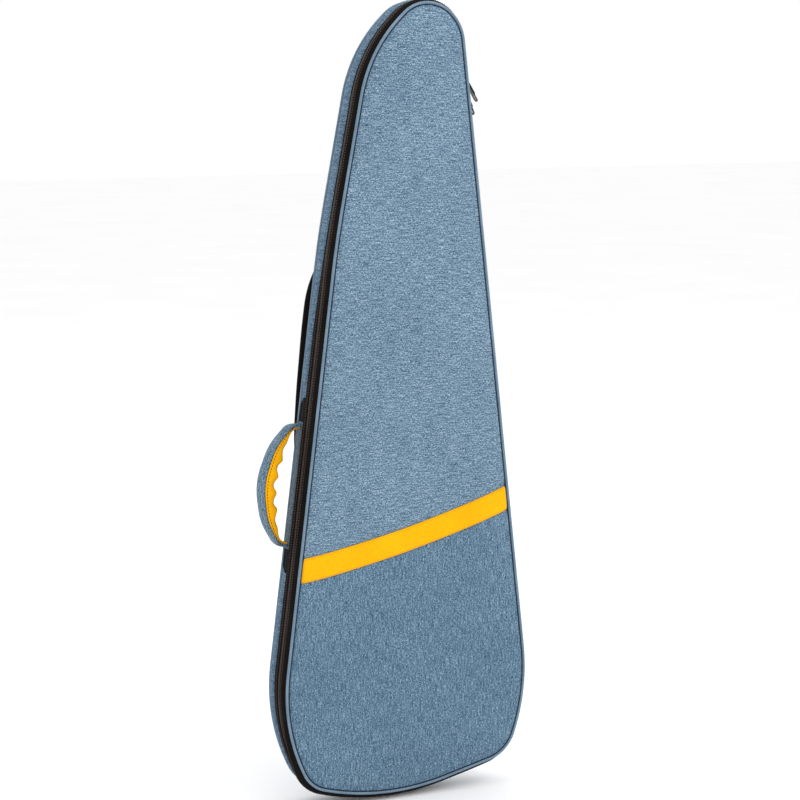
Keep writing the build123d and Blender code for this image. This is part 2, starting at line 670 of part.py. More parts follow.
def web_plane(along, off):
    return Plane(origin=(W0[0] + WD[0] * along + WN[0] * off, W0[1] + OY + WD[1] * along + WN[1] * off,
                         W0[2] + OZ + WD[2] * along + WN[2] * off), x_dir=WD, z_dir=WN)


with BuildPart() as right_lower_web:
    with BuildSketch(web_plane((WL - 3) / 2, -WEB_T / 2)):
        Rectangle(WL - 3, WEB)
    extrude(amount=WEB_T)

with BuildPart() as right_web_end:
    with BuildSketch(web_plane(WL + 14, -WEB_T / 2)):
        Rectangle(26, WEB)
    extrude(amount=WEB_T)

with BuildPart() as right_strap_anchor:
    with BuildSketch(xz(HALF_DEPTH + 1.4)):
        with BuildLine():
            Polyline((122, 96), (148, 40), (215, 20), (215, 138), (166, 134), close=True)
        make_face()
        add(bag_face(PANEL_INSET), mode=Mode.INTERSECT)
    extrude(amount=1.35)

TAIL_TOP = end_point(BAR_ALONG + 30, BAR_OFF + 3.1)


def tail_plane(length):
    """Plane at the middle of a hanging tail of a given length."""
    return Plane(origin=(BUCKLE_X, TAIL_TOP[0] + OY, TAIL_TOP[1] + OZ - length / 2), x_dir=(1, 0, 0), z_dir=(0, 1, 0))


with BuildPart() as right_tail:
    with BuildSketch(tail_plane(TAIL_LEN_RIGHT)):
        Rectangle(WEB - 1, TAIL_LEN_RIGHT)
    extrude(amount=WEB_T)

# ---------------------------------------------------------------- left strap, mirrored about the straps' middle
with BuildPart() as left_strap_root:
    mirror(right_strap_root.part, about=Plane.YZ)

with BuildPart() as left_pad_fabric:
    mirror(right_pad_fabric.part, about=Plane.YZ)

with BuildPart() as left_pad_foam:
    mirror(right_pad_foam.part, about=Plane.YZ)

with BuildPart() as left_pad_backing:
    mirror(right_pad_backing.part, about=Plane.YZ)

with BuildPart() as left_pad_binding:
    mirror(right_pad_binding.part, about=Plane.YZ)

with BuildPart() as left_strap_tab:
    mirror(right_strap_tab.part, about=Plane.YZ)

with BuildPart() as left_ladder_lock:
    mirror(right_ladder_lock.part, about=Plane.YZ)

with BuildPart() as left_web_turn:
    mirror(right_web_turn.part, about=Plane.YZ)

with BuildPart() as left_lower_web:
    mirror(right_lower_web.part, about=Plane.YZ)

with BuildPart() as left_web_end:
    mirror(right_web_end.part, about=Plane.YZ)

with BuildPart() as left_strap_anchor:
    with BuildSketch(xz(HALF_DEPTH + 1.4)):
        with BuildLine():
            Polyline((-122, 92), (-148, 38), (-215, 20), (-215, 138), (-166, 136), close=True)
        make_face()
        add(bag_face(PANEL_INSET), mode=Mode.INTERSECT)
    extrude(amount=1.35)

with BuildPart() as left_tail:
    with BuildSketch(tail_plane(TAIL_LEN_LEFT)):
        with Locations((-2 * BUCKLE_X, 0)):
            Rectangle(WEB - 1, TAIL_LEN_LEFT)
    extrude(amount=WEB_T)

# ---------------------------------------------------------------- labels and files
pieces = {
    "back_panel_fabric": back_panel_fabric, "back_panel_foam": back_panel_foam,
    "back_panel_lining": back_panel_lining, "back_piping": back_piping,
    "gusset_zip_side_fabric": gusset_zip_side_fabric, "gusset_zip_side_foam": gusset_zip_side_foam,
    "gusset_zip_side_lining": gusset_zip_side_lining,
    "gusset_hinge_side_fabric": gusset_hinge_side_fabric, "gusset_hinge_side_foam": gusset_hinge_side_foam,
    "gusset_hinge_side_lining": gusset_hinge_side_lining,
    "zipper_tape_rear": zipper_tape_rear, "zipper_teeth_rear": zipper_teeth_rear,
    "zipper_parked_tape": zipper_parked_tape, "zipper_parked_teeth": zipper_parked_teeth,
    "zipper_end_stops": zipper_end_stops,
    "front_panel_upper": front_panel_upper, "front_band": front_band, "front_panel_lower": front_panel_lower,
    "front_panel_foam": front_panel_foam, "front_panel_lining": front_panel_lining,
    "front_piping": front_piping, "zipper_tape_front": zipper_tape_front, "zipper_teeth_front": zipper_teeth_front,
    **sliders, **pulls,
    "handle_patch": handle_patch, "handle_base": handle_base, "handle_cover": handle_cover, "handle_grip": handle_grip,
    "back_web_band": back_web_band, "grab_loop": grab_loop,
    "right_strap_root": right_strap_root, "right_pad_fabric": right_pad_fabric, "right_pad_foam": right_pad_foam,
    "right_pad_backing": right_pad_backing, "right_pad_binding": right_pad_binding, "right_strap_tab": right_strap_tab,
    "right_ladder_lock": right_ladder_lock, "right_web_turn": right_web_turn, "right_lower_web": right_lower_web,
    "right_web_end": right_web_end, "right_strap_anchor": right_strap_anchor, "right_tail": right_tail,
    "left_strap_root": left_strap_root, "left_pad_fabric": left_pad_fabric, "left_pad_foam": left_pad_foam,
    "left_pad_backing": left_pad_backing, "left_pad_binding": left_pad_binding, "left_strap_tab": left_strap_tab,
    "left_ladder_lock": left_ladder_lock, "left_web_turn": left_web_turn, "left_lower_web": left_lower_web,
    "left_web_end": left_web_end, "left_strap_anchor": left_strap_anchor, "left_tail": left_tail,
}
for node, piece in pieces.items():
    piece.part.label = node
    export_step(piece.part, "parts/" + node + ".step")
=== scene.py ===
import json
import math

import bmesh
import bpy
import numpy as np
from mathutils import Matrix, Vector, geometry, kdtree, noise


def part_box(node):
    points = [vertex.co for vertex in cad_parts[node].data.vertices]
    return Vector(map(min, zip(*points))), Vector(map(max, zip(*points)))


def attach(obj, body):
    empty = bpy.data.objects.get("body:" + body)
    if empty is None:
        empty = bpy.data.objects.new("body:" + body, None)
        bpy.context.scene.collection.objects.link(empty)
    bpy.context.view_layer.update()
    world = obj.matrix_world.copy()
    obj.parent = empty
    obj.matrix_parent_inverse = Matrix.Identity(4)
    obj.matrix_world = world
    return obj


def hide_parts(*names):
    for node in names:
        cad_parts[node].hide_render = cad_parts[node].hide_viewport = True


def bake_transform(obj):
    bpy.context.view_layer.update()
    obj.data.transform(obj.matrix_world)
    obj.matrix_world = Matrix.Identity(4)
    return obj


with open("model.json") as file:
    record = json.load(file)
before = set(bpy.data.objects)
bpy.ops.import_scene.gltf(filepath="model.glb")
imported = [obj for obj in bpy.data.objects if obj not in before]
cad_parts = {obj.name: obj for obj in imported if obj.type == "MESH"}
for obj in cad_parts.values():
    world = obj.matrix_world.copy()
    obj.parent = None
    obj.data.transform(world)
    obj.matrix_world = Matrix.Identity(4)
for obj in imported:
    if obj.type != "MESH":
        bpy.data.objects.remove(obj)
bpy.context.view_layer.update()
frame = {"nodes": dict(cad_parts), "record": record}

# ------------------------------------------------------------------ the frame, in millimetres from the bag's bottom
REST = next(m for m in frame["record"]["mounts"] if m["name"] == "front_rest")["pos_m"]
SHIFT = np.array([REST[0], REST[1] + 0.0315, REST[2] - 0.560])


def row(points):
    """Bag millimetres to row metres."""
    return np.asarray(points, float) / 1000.0 + SHIFT


def rowv(x, y, z):
    return Vector(row([x, y, z]).tolist())


# ------------------------------------------------------------------ outline
CORNERS = [(-28.5, -9.6), (149.5, 34.0), (178.1, 122.7), (76.2, 1000.8), (25.0, 1047.9),
           (-56.8, 968.1), (-101.7, 730.9), (-179.3, 110.7), (-140.3, 21.0)]
RADII = [333.0, 53.4, 270.9, 57.0, 50.0, 186.0, 1500.0, 245.3, 47.7]
ZIP_LOW, ZIP_HIGH, ZIP_PARK = 64.0, 786.0, 846.0
SLIDER_LOW, SLIDER_HIGH = 798.6, 819.8
SEAM_Y = -7.6
EDGE_Y = 26.4
STRAPS_X = -8.0


def unit(a, b):
    length = math.hypot(b[0] - a[0], b[1] - a[1])
    return ((b[0] - a[0]) / length, (b[1] - a[1]) / length)


def rounded(points, radii, closed=True):
    """Lines and arcs of a rounded polyline."""
    n = len(points)
    stops = []
    for i, p in enumerate(points):
        if not closed and i in (0, n - 1):
            stops.append((p, None, p))
            continue
        t, s = unit(points[i - 1], p), unit(p, points[(i + 1) % n])
        turn = math.atan2(t[0] * s[1] - t[1] * s[0], t[0] * s[0] + t[1] * s[1])
        r = radii[i]
        if r <= 0.05 or abs(turn) < 1e-4:
            stops.append((p, None, p))
            continue
        cut = r * math.tan(abs(turn) / 2)
        bis = (s[0] - t[0], s[1] - t[1])
        length = math.hypot(*bis)
        bis = (bis[0] / length, bis[1] / length)
        deep = r / math.cos(turn / 2) - r
        stops.append(((p[0] - t[0] * cut, p[1] - t[1] * cut), (p[0] + bis[0] * deep, p[1] + bis[1] * deep),
                      (p[0] + s[0] * cut, p[1] + s[1] * cut)))
    segs = []
    for i, stop in enumerate(stops):
        if stop[1] is not None:
            segs.append(stop)
        if i < n - 1 or closed:
            nxt = stops[(i + 1) % n][0]
            if math.dist(stop[2], nxt) > 1e-4:
                segs.append((stop[2], None, nxt))
    return segs


def auto_radii(points, share=0.45):
    radii = [0.0] * len(points)
    for i in range(1, len(points) - 1):
        t, s = unit(points[i - 1], points[i]), unit(points[i], points[i + 1])
        turn = abs(math.atan2(t[0] * s[1] - t[1] * s[0], t[0] * s[0] + t[1] * s[1]))
        shorter = min(math.dist(points[i - 1], points[i]), math.dist(points[i], points[i + 1]))
        radii[i] = shorter * share / math.tan(turn / 2) if turn > 1e-3 else 0.0
    return radii


def walk(segs, step):
    """Points along lines and arcs, with the way they run: arrays (n, 2) and (n, 2)."""
    pts, dirs = [], []
    for a, m, b in segs:
        if m is None:
            length = math.dist(a, b)
            k = max(1, int(round(length / step)))
            d = unit(a, b)
            for i in range(k):
                f = i / k
                pts.append((a[0] + (b[0] - a[0]) * f, a[1] + (b[1] - a[1]) * f))
                dirs.append(d)
            last = (b, d)
        else:
            ax, ay, bx, by, cx, cy = *a, *m, *b
            dd = 2 * (ax * (by - cy) + bx * (cy - ay) + cx * (ay - by))
            ux = ((ax**2 + ay**2) * (by - cy) + (bx**2 + by**2) * (cy - ay) + (cx**2 + cy**2) * (ay - by)) / dd
            uy = ((ax**2 + ay**2) * (cx - bx) + (bx**2 + by**2) * (ax - cx) + (cx**2 + cy**2) * (bx - ax)) / dd
            r = math.hypot(ax - ux, ay - uy)
            a0 = math.atan2(ay - uy, ax - ux)
            a1 = math.atan2(cy - uy, cx - ux)
            left = (bx - ax) * (cy - ay) - (by - ay) * (cx - ax) > 0
            sweep = (a1 - a0) % (2 * math.pi) if left else -((a0 - a1) % (2 * math.pi))
            k = max(2, int(round(abs(sweep) * r / step)))
            for i in range(k):
                w = a0 + sweep * i / k
                pts.append((ux + r * math.cos(w), uy + r * math.sin(w)))
                dirs.append((-math.sin(w), math.cos(w)) if left else (math.sin(w), -math.cos(w)))
            last = ((cx, cy), (-math.sin(a1), math.cos(a1)) if left else (math.sin(a1), -math.cos(a1)))
    return np.array(pts), np.array(dirs), last


def line_table(segs, step, closed):
    """Length along, point and way at each sample."""
    pts, dirs, last = walk(segs, step)
    if not closed:
        pts = np.vstack([pts, last[0]])
        dirs = np.vstack([dirs, last[1]])
    else:
        pts = np.vstack([pts, pts[:1]])
        dirs = np.vstack([dirs, dirs[:1]])
    lengths = np.concatenate([[0], np.cumsum(np.hypot(*np.diff(pts, axis=0).T))])
    return lengths, pts, dirs


SIDE_A, SIDE_B = CORNERS[2], CORNERS[3]
SIDE_U = unit(SIDE_A, SIDE_B)
SIDE_N = (SIDE_U[1], -SIDE_U[0])
SEGS = rounded(CORNERS, RADII)
start = (SIDE_A[0] + SIDE_U[0] * ZIP_LOW, SIDE_A[1] + SIDE_U[1] * ZIP_LOW)
for i, (a, m, b) in enumerate(SEGS):
    if m is None and math.dist(a, start) + math.dist(start, b) - math.dist(a, b) < 0.01:
        SEGS = [(start, None, b)] + SEGS[i + 1:] + SEGS[:i] + [(a, None, start)]
        break
OUT_T, OUT_P, OUT_D = line_table(SEGS, 0.8, True)
PERIMETER = OUT_T[-1]
T_HIGH, T_PARK = ZIP_HIGH - ZIP_LOW, ZIP_PARK - ZIP_LOW


def at(t):
    """Outline point and outward normal at a length along it, from the hinge's lower end upwards."""
    t = np.asarray(t, float) % PERIMETER
    x, z = np.interp(t, OUT_T, OUT_P[:, 0]), np.interp(t, OUT_T, OUT_P[:, 1])
    dx, dz = np.interp(t, OUT_T, OUT_D[:, 0]), np.interp(t, OUT_T, OUT_D[:, 1])
    k = np.hypot(dx, dz)
    return x, z, dz / k, -dx / k


def spread(t0, t1, step):
    return np.linspace(t0, t1, max(2, int(round(abs(t1 - t0) / step)) + 1))


TREE = kdtree.KDTree(len(OUT_P) - 1)
for i, p in enumerate(OUT_P[:-1]):
    TREE.insert((p[0], p[1], 0), i)
TREE.balance()


def edge_of(x, z):
    """Distance in from the outline, and the length along it there."""
    _, i, d = TREE.find((x, z, 0))
    return d, OUT_T[i]


def fuzz(x, y, z=0.0):
    return noise.noise(Vector((x, y, z)))


# ------------------------------------------------------------------ meshes
PIECES = []


def make(name, verts, faces, uvs=None, mat=None, smooth=True, fix=True):
    """A mesh object from bag millimetres. uvs: one pair per face corner, in metres."""
    mesh = bpy.data.meshes.new(name)
    faces = faces.tolist() if isinstance(faces, np.ndarray) else [list(map(int, f)) for f in faces]
    mesh.from_pydata(row(verts).tolist(), [], faces)
    if uvs is not None:
        layer = mesh.uv_layers.new(name="UVMap")
        layer.data.foreach_set("uv", np.asarray(uvs, np.float32).ravel())
    if fix:
        bm = bmesh.new()
        bm.from_mesh(mesh)
        bmesh.ops.recalc_face_normals(bm, faces=bm.faces)
        bm.to_mesh(mesh)
        bm.free()
    mesh.polygons.foreach_set("use_smooth", [smooth] * len(mesh.polygons))
    mesh.update()
    obj = bpy.data.objects.new(name, mesh)
    bpy.context.scene.collection.objects.link(obj)
    if mat:
        mesh.materials.append(mat)
    PIECES.append(obj)
    return obj


def sharpen(obj, angle=40):
    """Keeps a hard shading edge where faces meet at more than an angle."""
    bm = bmesh.new()
    bm.from_mesh(obj.data)
    for e in bm.edges:
        if len(e.link_faces) == 2:
            e.smooth = e.calc_face_angle(0) < math.radians(angle)
    bm.to_mesh(obj.data)
    bm.free()
    return obj


def loft(rings, close_path=False, close_sec=True, caps=True, u=None, v=None, swap=False):
    """Quads through rings (n, m, 3): faces and their uvs, u along the path and v round the section, in metres."""
    rings = np.asarray(rings, float)
    n, m = rings.shape[:2]
    if u is None:
        step = np.linalg.norm(np.diff(np.concatenate([rings, rings[:1]]), axis=0).mean(1), axis=1)
        u = np.concatenate([[0], np.cumsum(step)]) / 1000.0
    else:
        u = np.asarray(u, float)
        if len(u) == n:
            u = np.append(u, u[-1] + (u[-1] - u[-2]))
    if v is None:
        mid = rings[n // 2]
        step = np.linalg.norm(np.diff(np.concatenate([mid, mid[:1]]), axis=0), axis=1)
        v = np.concatenate([[0], np.cumsum(step)]) / 1000.0
    ni, mj = (n if close_path else n - 1), (m if close_sec else m - 1)
    i, j = np.meshgrid(np.arange(ni), np.arange(mj), indexing="ij")
    i, j = i.ravel(), j.ravel()
    i2, j2 = (i + 1) % n, (j + 1) % m
    quads = np.stack([i * m + j, i2 * m + j, i2 * m + j2, i * m + j2], 1)
    uv = np.stack([np.stack([u[i], v[j]], 1), np.stack([u[i + 1], v[j]], 1),
                   np.stack([u[i + 1], v[j + 1]], 1), np.stack([u[i], v[j + 1]], 1)], 1)
    faces, uvs = quads.tolist(), uv.reshape(-1, 2)
    if caps and close_sec and not close_path:
        for k in (0, n - 1):
            faces.append([k * m + q for q in range(m)])
            c = rings[k].mean(0)
            flat = (rings[k] - c) / 1000.0
            uvs = np.vstack([uvs, np.stack([flat[:, 0] + flat[:, 1], flat[:, 2]], 1)])
    if swap:
        uvs = uvs[:, ::-1]
    return rings.reshape(-1, 3), faces, uvs


def along_outline(ts, section):
    """Rings that follow the outline: section(t) gives (inset, y) pairs."""
    rings = []
    xs, zs, nx, nz = at(ts)
    for k, t in enumerate(ts):
        s = np.array(section(t), float)
        rings.append(np.stack([xs[k] - nx[k] * s[:, 0], s[:, 1], zs[k] - nz[k] * s[:, 0]], 1))
    return np.array(rings)


def slab(outer, thick):
    """Closed section from its outer line, thickened inwards."""
    outer = np.array(outer, float)
    inner = outer[::-1].copy()
    inner[:, 0] += thick
    return np.vstack([outer, inner])


def tube(points, radius, sides=10, closed=False, squash=1.0):
    """Round bar along points."""
    p = np.asarray(points, float)
    n = len(p)
    if closed:
        d = np.roll(p, -1, 0) - np.roll(p, 1, 0)
    else:
        d = np.gradient(p, axis=0)
    d /= np.linalg.norm(d, axis=1)[:, None]
    ref = np.array([0, 1.0, 0])
    rings = []
    for k in range(n):
        a = np.cross(d[k], ref)
        if np.linalg.norm(a) < 1e-3:
            a = np.cross(d[k], [1.0, 0, 0])
        a /= np.linalg.norm(a)
        b = np.cross(d[k], a)
        w = np.linspace(0, 2 * math.pi, sides, endpoint=False)
        r = radius[k] if hasattr(radius, "__len__") else radius
        rings.append(p[k] + r * (np.cos(w)[:, None] * a + squash * np.sin(w)[:, None] * b))
    return np.array(rings)


def copies(proto, faces, origin, ex, ey, ez):
    """One prototype placed many times. Prototype axes are along, across and out."""
    proto, origin = np.asarray(proto, float), np.asarray(origin, float)
    n, k = len(origin), len(proto)
    v = (origin[:, None, :] + proto[None, :, 0:1] * np.asarray(ex)[:, None, :]
         + proto[None, :, 1:2] * np.asarray(ey)[:, None, :] + proto[None, :, 2:3] * np.asarray(ez)[:, None, :])
    out = []
    for i in range(n):
        out.extend([[q + i * k for q in f] for f in faces])
    return v.reshape(-1, 3), out


def capsule(length, radius, flat=0.7, sides=6, rings=5):
    """Stitch or bead, tapered at both ends and lying along its first axis."""
    verts, faces = [], []
    for r in range(rings):
        a = r / (rings - 1)
        x = (a - 0.5) * length
        rr = radius * (0.35 if r in (0, rings - 1) else 1.0)
        lift = radius * 0.8 * math.sin(math.pi * a)
        for s in range(sides):
            w = 2 * math.pi * s / sides
            verts.append((x, rr * math.cos(w), rr * flat * math.sin(w) + lift - radius * 0.4))
    for r in range(rings - 1):
        for s in range(sides):
            s2 = (s + 1) % sides
            faces.append([r * sides + s, r * sides + s2, (r + 1) * sides + s2, (r + 1) * sides + s])
    faces.append([s for s in range(sides)][::-1])
    faces.append([(rings - 1) * sides + s for s in range(sides)])
    return verts, faces


def stitches(name, points, normals, mat, pitch=3.4, length=2.5, radius=0.32, closed=False):
    """A line of thread stitches along points that lie on a surface."""
    p, nrm = np.asarray(points, float), np.asarray(normals, float)
    if closed:
        p, nrm = np.vstack([p, p[:1]]), np.vstack([nrm, nrm[:1]])
    s = np.concatenate([[0], np.cumsum(np.linalg.norm(np.diff(p, axis=0), axis=1))])
    k = max(1, int(s[-1] / pitch))
    mids = (np.arange(k) + 0.5) * s[-1] / k
    o = np.stack([np.interp(mids, s, p[:, c]) for c in range(3)], 1)
    nn = np.stack([np.interp(mids, s, nrm[:, c]) for c in range(3)], 1)
    a = np.stack([np.interp(mids - length / 2, s, p[:, c]) for c in range(3)], 1)
    b = np.stack([np.interp(mids + length / 2, s, p[:, c]) for c in range(3)], 1)
    ex = b - a
    ex /= np.linalg.norm(ex, axis=1)[:, None] + 1e-12
    nn -= (nn * ex).sum(1)[:, None] * ex
    nn /= np.linalg.norm(nn, axis=1)[:, None] + 1e-12
    ey = np.cross(nn, ex)
    proto, faces = capsule(length, radius)
    v, f = copies(proto, faces, o, ex, ey, nn)
    return make(name, v, f, None, mat)


def place(obj, body, slot, *nodes):
    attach(obj, body)
    if nodes:
        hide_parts(*nodes)
    return obj


# ------------------------------------------------------------------ materials
class Mat:
    """A node material with one principled shader."""

    def __init__(self, name, rough=0.8, **sockets):
        self.mat = bpy.data.materials.new(name)
        self.mat.use_nodes = True
        self.nt = self.mat.node_tree
        self.nt.nodes.clear()
        self.out = self.nt.nodes.new("ShaderNodeOutputMaterial")
        self.sh = self.nt.nodes.new("ShaderNodeBsdfPrincipled")
        self.nt.links.new(self.sh.outputs[0], self.out.inputs[0])
        self.sh.inputs["Roughness"].default_value = rough
        for k, v in sockets.items():
            self.sh.inputs[k.replace("_", " ")].default_value = v
        self.tc = self.nt.nodes.new("ShaderNodeTexCoord")

    def node(self, kind, props=None, **inputs):
        n = self.nt.nodes.new(kind)
        for k, v in (props or {}).items():
            setattr(n, k, v)
        for k, v in inputs.items():
            key = k.replace("_", " ")
            sock = n.inputs[int(k[1:])] if k[0] == "i" and k[1:].isdigit() else n.inputs[key]
            if isinstance(v, bpy.types.NodeSocket):
                self.nt.links.new(v, sock)
            else:
                sock.default_value = v
        return n

    def coords(self, kind="UV", scale=(1, 1, 1), rot=0.0, loc=(0, 0, 0)):
        n = self.node("ShaderNodeMapping", None, Vector=self.tc.outputs[kind], Scale=scale, Rotation=(0, 0, rot),
                      Location=loc)
        return n.outputs[0]

    def noise(self, vec, scale=1.0, detail=2.0, rough=0.5, distortion=0.0):
        n = self.node("ShaderNodeTexNoise", None, Vector=vec, Scale=scale, Detail=detail, Roughness=rough,
                      Distortion=distortion)
        return n.outputs[0]

    def math(self, op, a, b=0.0, c=None):
        n = self.node("ShaderNodeMath", {"operation": op}, i0=a, i1=b)
        if c is not None:
            if isinstance(c, bpy.types.NodeSocket):
                self.nt.links.new(c, n.inputs[2])
            else:
                n.inputs[2].default_value = c
        return n.outputs[0]

    def ramp(self, fac, stops, mode="LINEAR"):
        n = self.node("ShaderNodeValToRGB", None, Fac=fac)
        r = n.color_ramp
        r.interpolation = mode
        while len(r.elements) < len(stops):
            r.elements.new(0.5)
        for e, (pos, col) in zip(r.elements, stops):
            e.position = pos
            e.color = (*col, 1.0) if len(col) == 3 else col
        return n.outputs[0]

    def mix(self, fac, a, b, mode="MIX"):
        n = self.node("ShaderNodeMixRGB", {"blend_type": mode}, Fac=fac, Color1=a, Color2=b)
        return n.outputs[0]

    def sine(self, vec, axis, pitch, phase=0.0):
        """A wave along one coordinate, from 0 to 1, pitch in metres."""
        sep = self.node("ShaderNodeSeparateXYZ", None, Vector=vec)
        a = self.math("MULTIPLY", sep.outputs[axis], 2 * math.pi / pitch)
        if not isinstance(phase, float) or phase:
            a = self.math("ADD", a, phase)
        return self.math("MULTIPLY_ADD", self.math("SINE", a), 0.5, 0.5)

    def weave(self, vec, pitch):
        """Over-and-under threads: height from 0 to 1."""
        a, b = self.sine(vec, 0, pitch), self.sine(vec, 1, pitch)
        s = self.math("MULTIPLY", self.math("SUBTRACT", a, 0.5), self.math("SUBTRACT", b, 0.5))
        return self.math("MULTIPLY_ADD", s, 2.0, 0.5)

    def bump(self, height, distance, strength=1.0, normal=None):
        n = self.node("ShaderNodeBump", None, Height=height, Distance=distance, Strength=strength)
        if normal is not None:
            self.nt.links.new(normal, n.inputs["Normal"])
        return n.outputs[0]

    def finish(self, color=None, normal=None, rough=None):
        if color is not None:
            self.nt.links.new(color, self.sh.inputs["Base Color"])
        if normal is not None:
            self.nt.links.new(normal, self.sh.inputs["Normal"])
        if rough is not None:
            self.nt.links.new(rough, self.sh.inputs["Roughness"])
        return self.mat


def lin(r, g, b):
    """Screen colour 0-255 to linear."""
    return tuple((c / 255 / 12.92) if c / 255 <= 0.04045 else ((c / 255 + 0.055) / 1.055) ** 2.4 for c in (r, g, b))


def heather(name, turned=False, tone=1.0, deep=1.0, soft=1.0, tint=(1.0, 1.0, 1.0)):
    """Melange canvas: pale and dark slub yarns over a fine plain weave. The weft's slubs run along u, or along v if turned."""
    m = Mat(name, rough=0.86, Sheen_Weight=0.07, Sheen_Roughness=0.5, Specular_IOR_Level=0.15)
    rot = math.pi / 2 if turned else 0.0
    uv = m.coords("UV", rot=rot)
    weft = m.noise(m.coords("UV", (1 / 0.0036, 1 / 0.00078, 1), rot) if not turned else
                   m.coords("UV", (1 / 0.00078, 1 / 0.0036, 1)), 1.0, 3.0, 0.62)
    warp = m.noise(m.coords("UV", (1 / 0.00080, 1 / 0.0029, 1)) if not turned else
                   m.coords("UV", (1 / 0.0029, 1 / 0.00080, 1)), 1.0, 3.0, 0.6)
    slub = m.noise(m.coords("UV", (1 / 0.018, 1 / 0.0011, 1)) if not turned else
                   m.coords("UV", (1 / 0.0011, 1 / 0.018, 1)), 1.0, 2.0, 0.5)
    grain = m.noise(m.coords("UV", (1 / 0.00085, 1 / 0.00085, 1)), 1.0, 2.0, 0.7)
    broad = m.noise(m.coords("UV", (1 / 0.11, 1 / 0.11, 1)), 1.0, 3.0, 0.5)
    v = m.math("MULTIPLY", weft, 0.27)
    v = m.math("MULTIPLY_ADD", warp, 0.23, v)
    v = m.math("MULTIPLY_ADD", slub, 0.15, v)
    v = m.math("MULTIPLY_ADD", grain, 0.35, v)
    d, k = deep, tone
    shade = [(-0.070, (0.012 * d, 0.040 * d, 0.080 * d)), (-0.020, (0.074, 0.152, 0.238)),
             (0.022, (0.178, 0.288, 0.392)), (0.072, (0.530, 0.650, 0.740))]
    col = m.ramp(v, [(0.5 + p / soft, tuple(c * k * q for c, q in zip(cc, tint))) for p, cc in shade])
    shade = m.ramp(broad, [(0.3, (0.90, 0.91, 0.92)), (0.7, (1.06, 1.05, 1.04))])
    col = m.mix(1.0, col, shade, "MULTIPLY")
    h = m.math("MULTIPLY_ADD", m.weave(uv, 0.0011), 0.6, m.math("MULTIPLY", v, 1.2))
    rough = m.math("MULTIPLY_ADD", v, -0.25, 0.97)
    return m.finish(col, m.bump(h, 0.00022, 0.9), rough)


def webbing(name, base=(0.0080, 0.0060, 0.0050)):
    """Ribbed webbing, u along it and v across it."""
    m = Mat(name, rough=0.62, Sheen_Weight=0.012, Sheen_Roughness=0.35, Specular_IOR_Level=0.06)
    uv = m.tc.outputs["UV"]
    cols = m.sine(uv, 1, 0.0026)
    step = m.math("GREATER_THAN", cols, 0.5)
    ribs = m.sine(uv, 0, 0.0019, m.math("MULTIPLY", step, math.pi))
    h = m.math("MULTIPLY_ADD", ribs, 0.7, m.math("MULTIPLY", m.math("ABSOLUTE", m.math("SUBTRACT", cols, 0.5)), 0.8))
    fib = m.noise(m.coords("UV", (1 / 0.004, 1 / 0.0004, 1)), 1.0, 2.0, 0.6)
    broad = m.noise(m.coords("UV", (1 / 0.03, 1 / 0.03, 1)), 1.0, 2.0, 0.5)
    v = m.math("MULTIPLY_ADD", fib, 0.5, m.math("MULTIPLY", h, 0.35))
    v = m.math("MULTIPLY_ADD", broad, 0.25, v)
    # The colour follows fibre noise and the rib height h: the ribs' crests get painted highlight, up to the lightest
    # stop.
    col = m.ramp(v, [(0.25, tuple(c * 0.35 for c in base)), (0.6, base), (0.95, tuple(min(1, c * 3.4) for c in base))])
    return m.finish(col, m.bump(h, 0.00035, 0.9), m.math("MULTIPLY_ADD", fib, 0.3, 0.45))


def cloth(name, dark, light, pitch=0.0009, rough=0.8, sheen=0.2, depth=0.00018, streak=0.006, kind="UV"):
    """Plain woven cloth with a little streaking."""
    m = Mat(name, rough=rough, Sheen_Weight=sheen, Sheen_Roughness=0.5, Specular_IOR_Level=0.05)
    uv = m.tc.outputs[kind]
    a = m.noise(m.coords(kind, (1 / streak, 1 / 0.0008, 1 / streak)), 1.0, 2.0, 0.6)
    b = m.noise(m.coords(kind, (1 / 0.0008, 1 / streak, 1 / 0.0008)), 1.0, 2.0, 0.6)
    broad = m.noise(m.coords(kind, (1 / 0.05, 1 / 0.05, 1 / 0.05)), 1.0, 2.0, 0.5)
    v = m.math("MULTIPLY_ADD", a, 0.4, m.math("MULTIPLY", b, 0.35))
    v = m.math("MULTIPLY_ADD", broad, 0.25, v)
    h = m.weave(uv, pitch)
    col = m.ramp(v, [(0.34, dark), (0.66, light)])
    h2 = m.math("MULTIPLY_ADD", h, 0.7, m.math("MULTIPLY", v, 0.8))
    return m.finish(col, m.bump(h2, depth, 0.9), m.math("MULTIPLY_ADD", v, -0.2, rough + 0.1))


def coil_mat(name):
    m = Mat(name, rough=0.45, Specular_IOR_Level=0.35)
    v = m.noise(m.coords("Object", (1, 1, 1)), 700.0, 3.0, 0.6)
    col = m.ramp(v, [(0.35, (0.014, 0.010, 0.008)), (0.65, (0.050, 0.036, 0.028))])
    return m.finish(col, m.bump(v, 0.00012, 0.6), m.math("MULTIPLY_ADD", v, 0.3, 0.28))


def enamel(name):
    m = Mat(name, rough=0.33, Metallic=0.0, Specular_IOR_Level=0.42, Coat_Weight=0.12, Coat_Roughness=0.18)
    v = m.noise(m.coords("Object"), 320.0, 3.0, 0.65)
    geo = m.nt.nodes.new("ShaderNodeNewGeometry")
    # Colour a little lighter on sharp convex edges.
    pale_edges = m.ramp(m.math("ADD", geo.outputs["Pointiness"], m.math("MULTIPLY", v, 0.05)),
                  [(0.545, (0, 0, 0)), (0.60, (1, 1, 1))])
    base = m.ramp(v, [(0.3, (0.004, 0.004, 0.004)), (0.7, (0.011, 0.011, 0.011))])
    col = m.mix(m.math("MULTIPLY", pale_edges, 0.05), base, (0.20, 0.19, 0.18, 1))
    return m.finish(col, m.bump(v, 0.00006, 0.5), m.math("MULTIPLY_ADD", v, 0.3, 0.18))


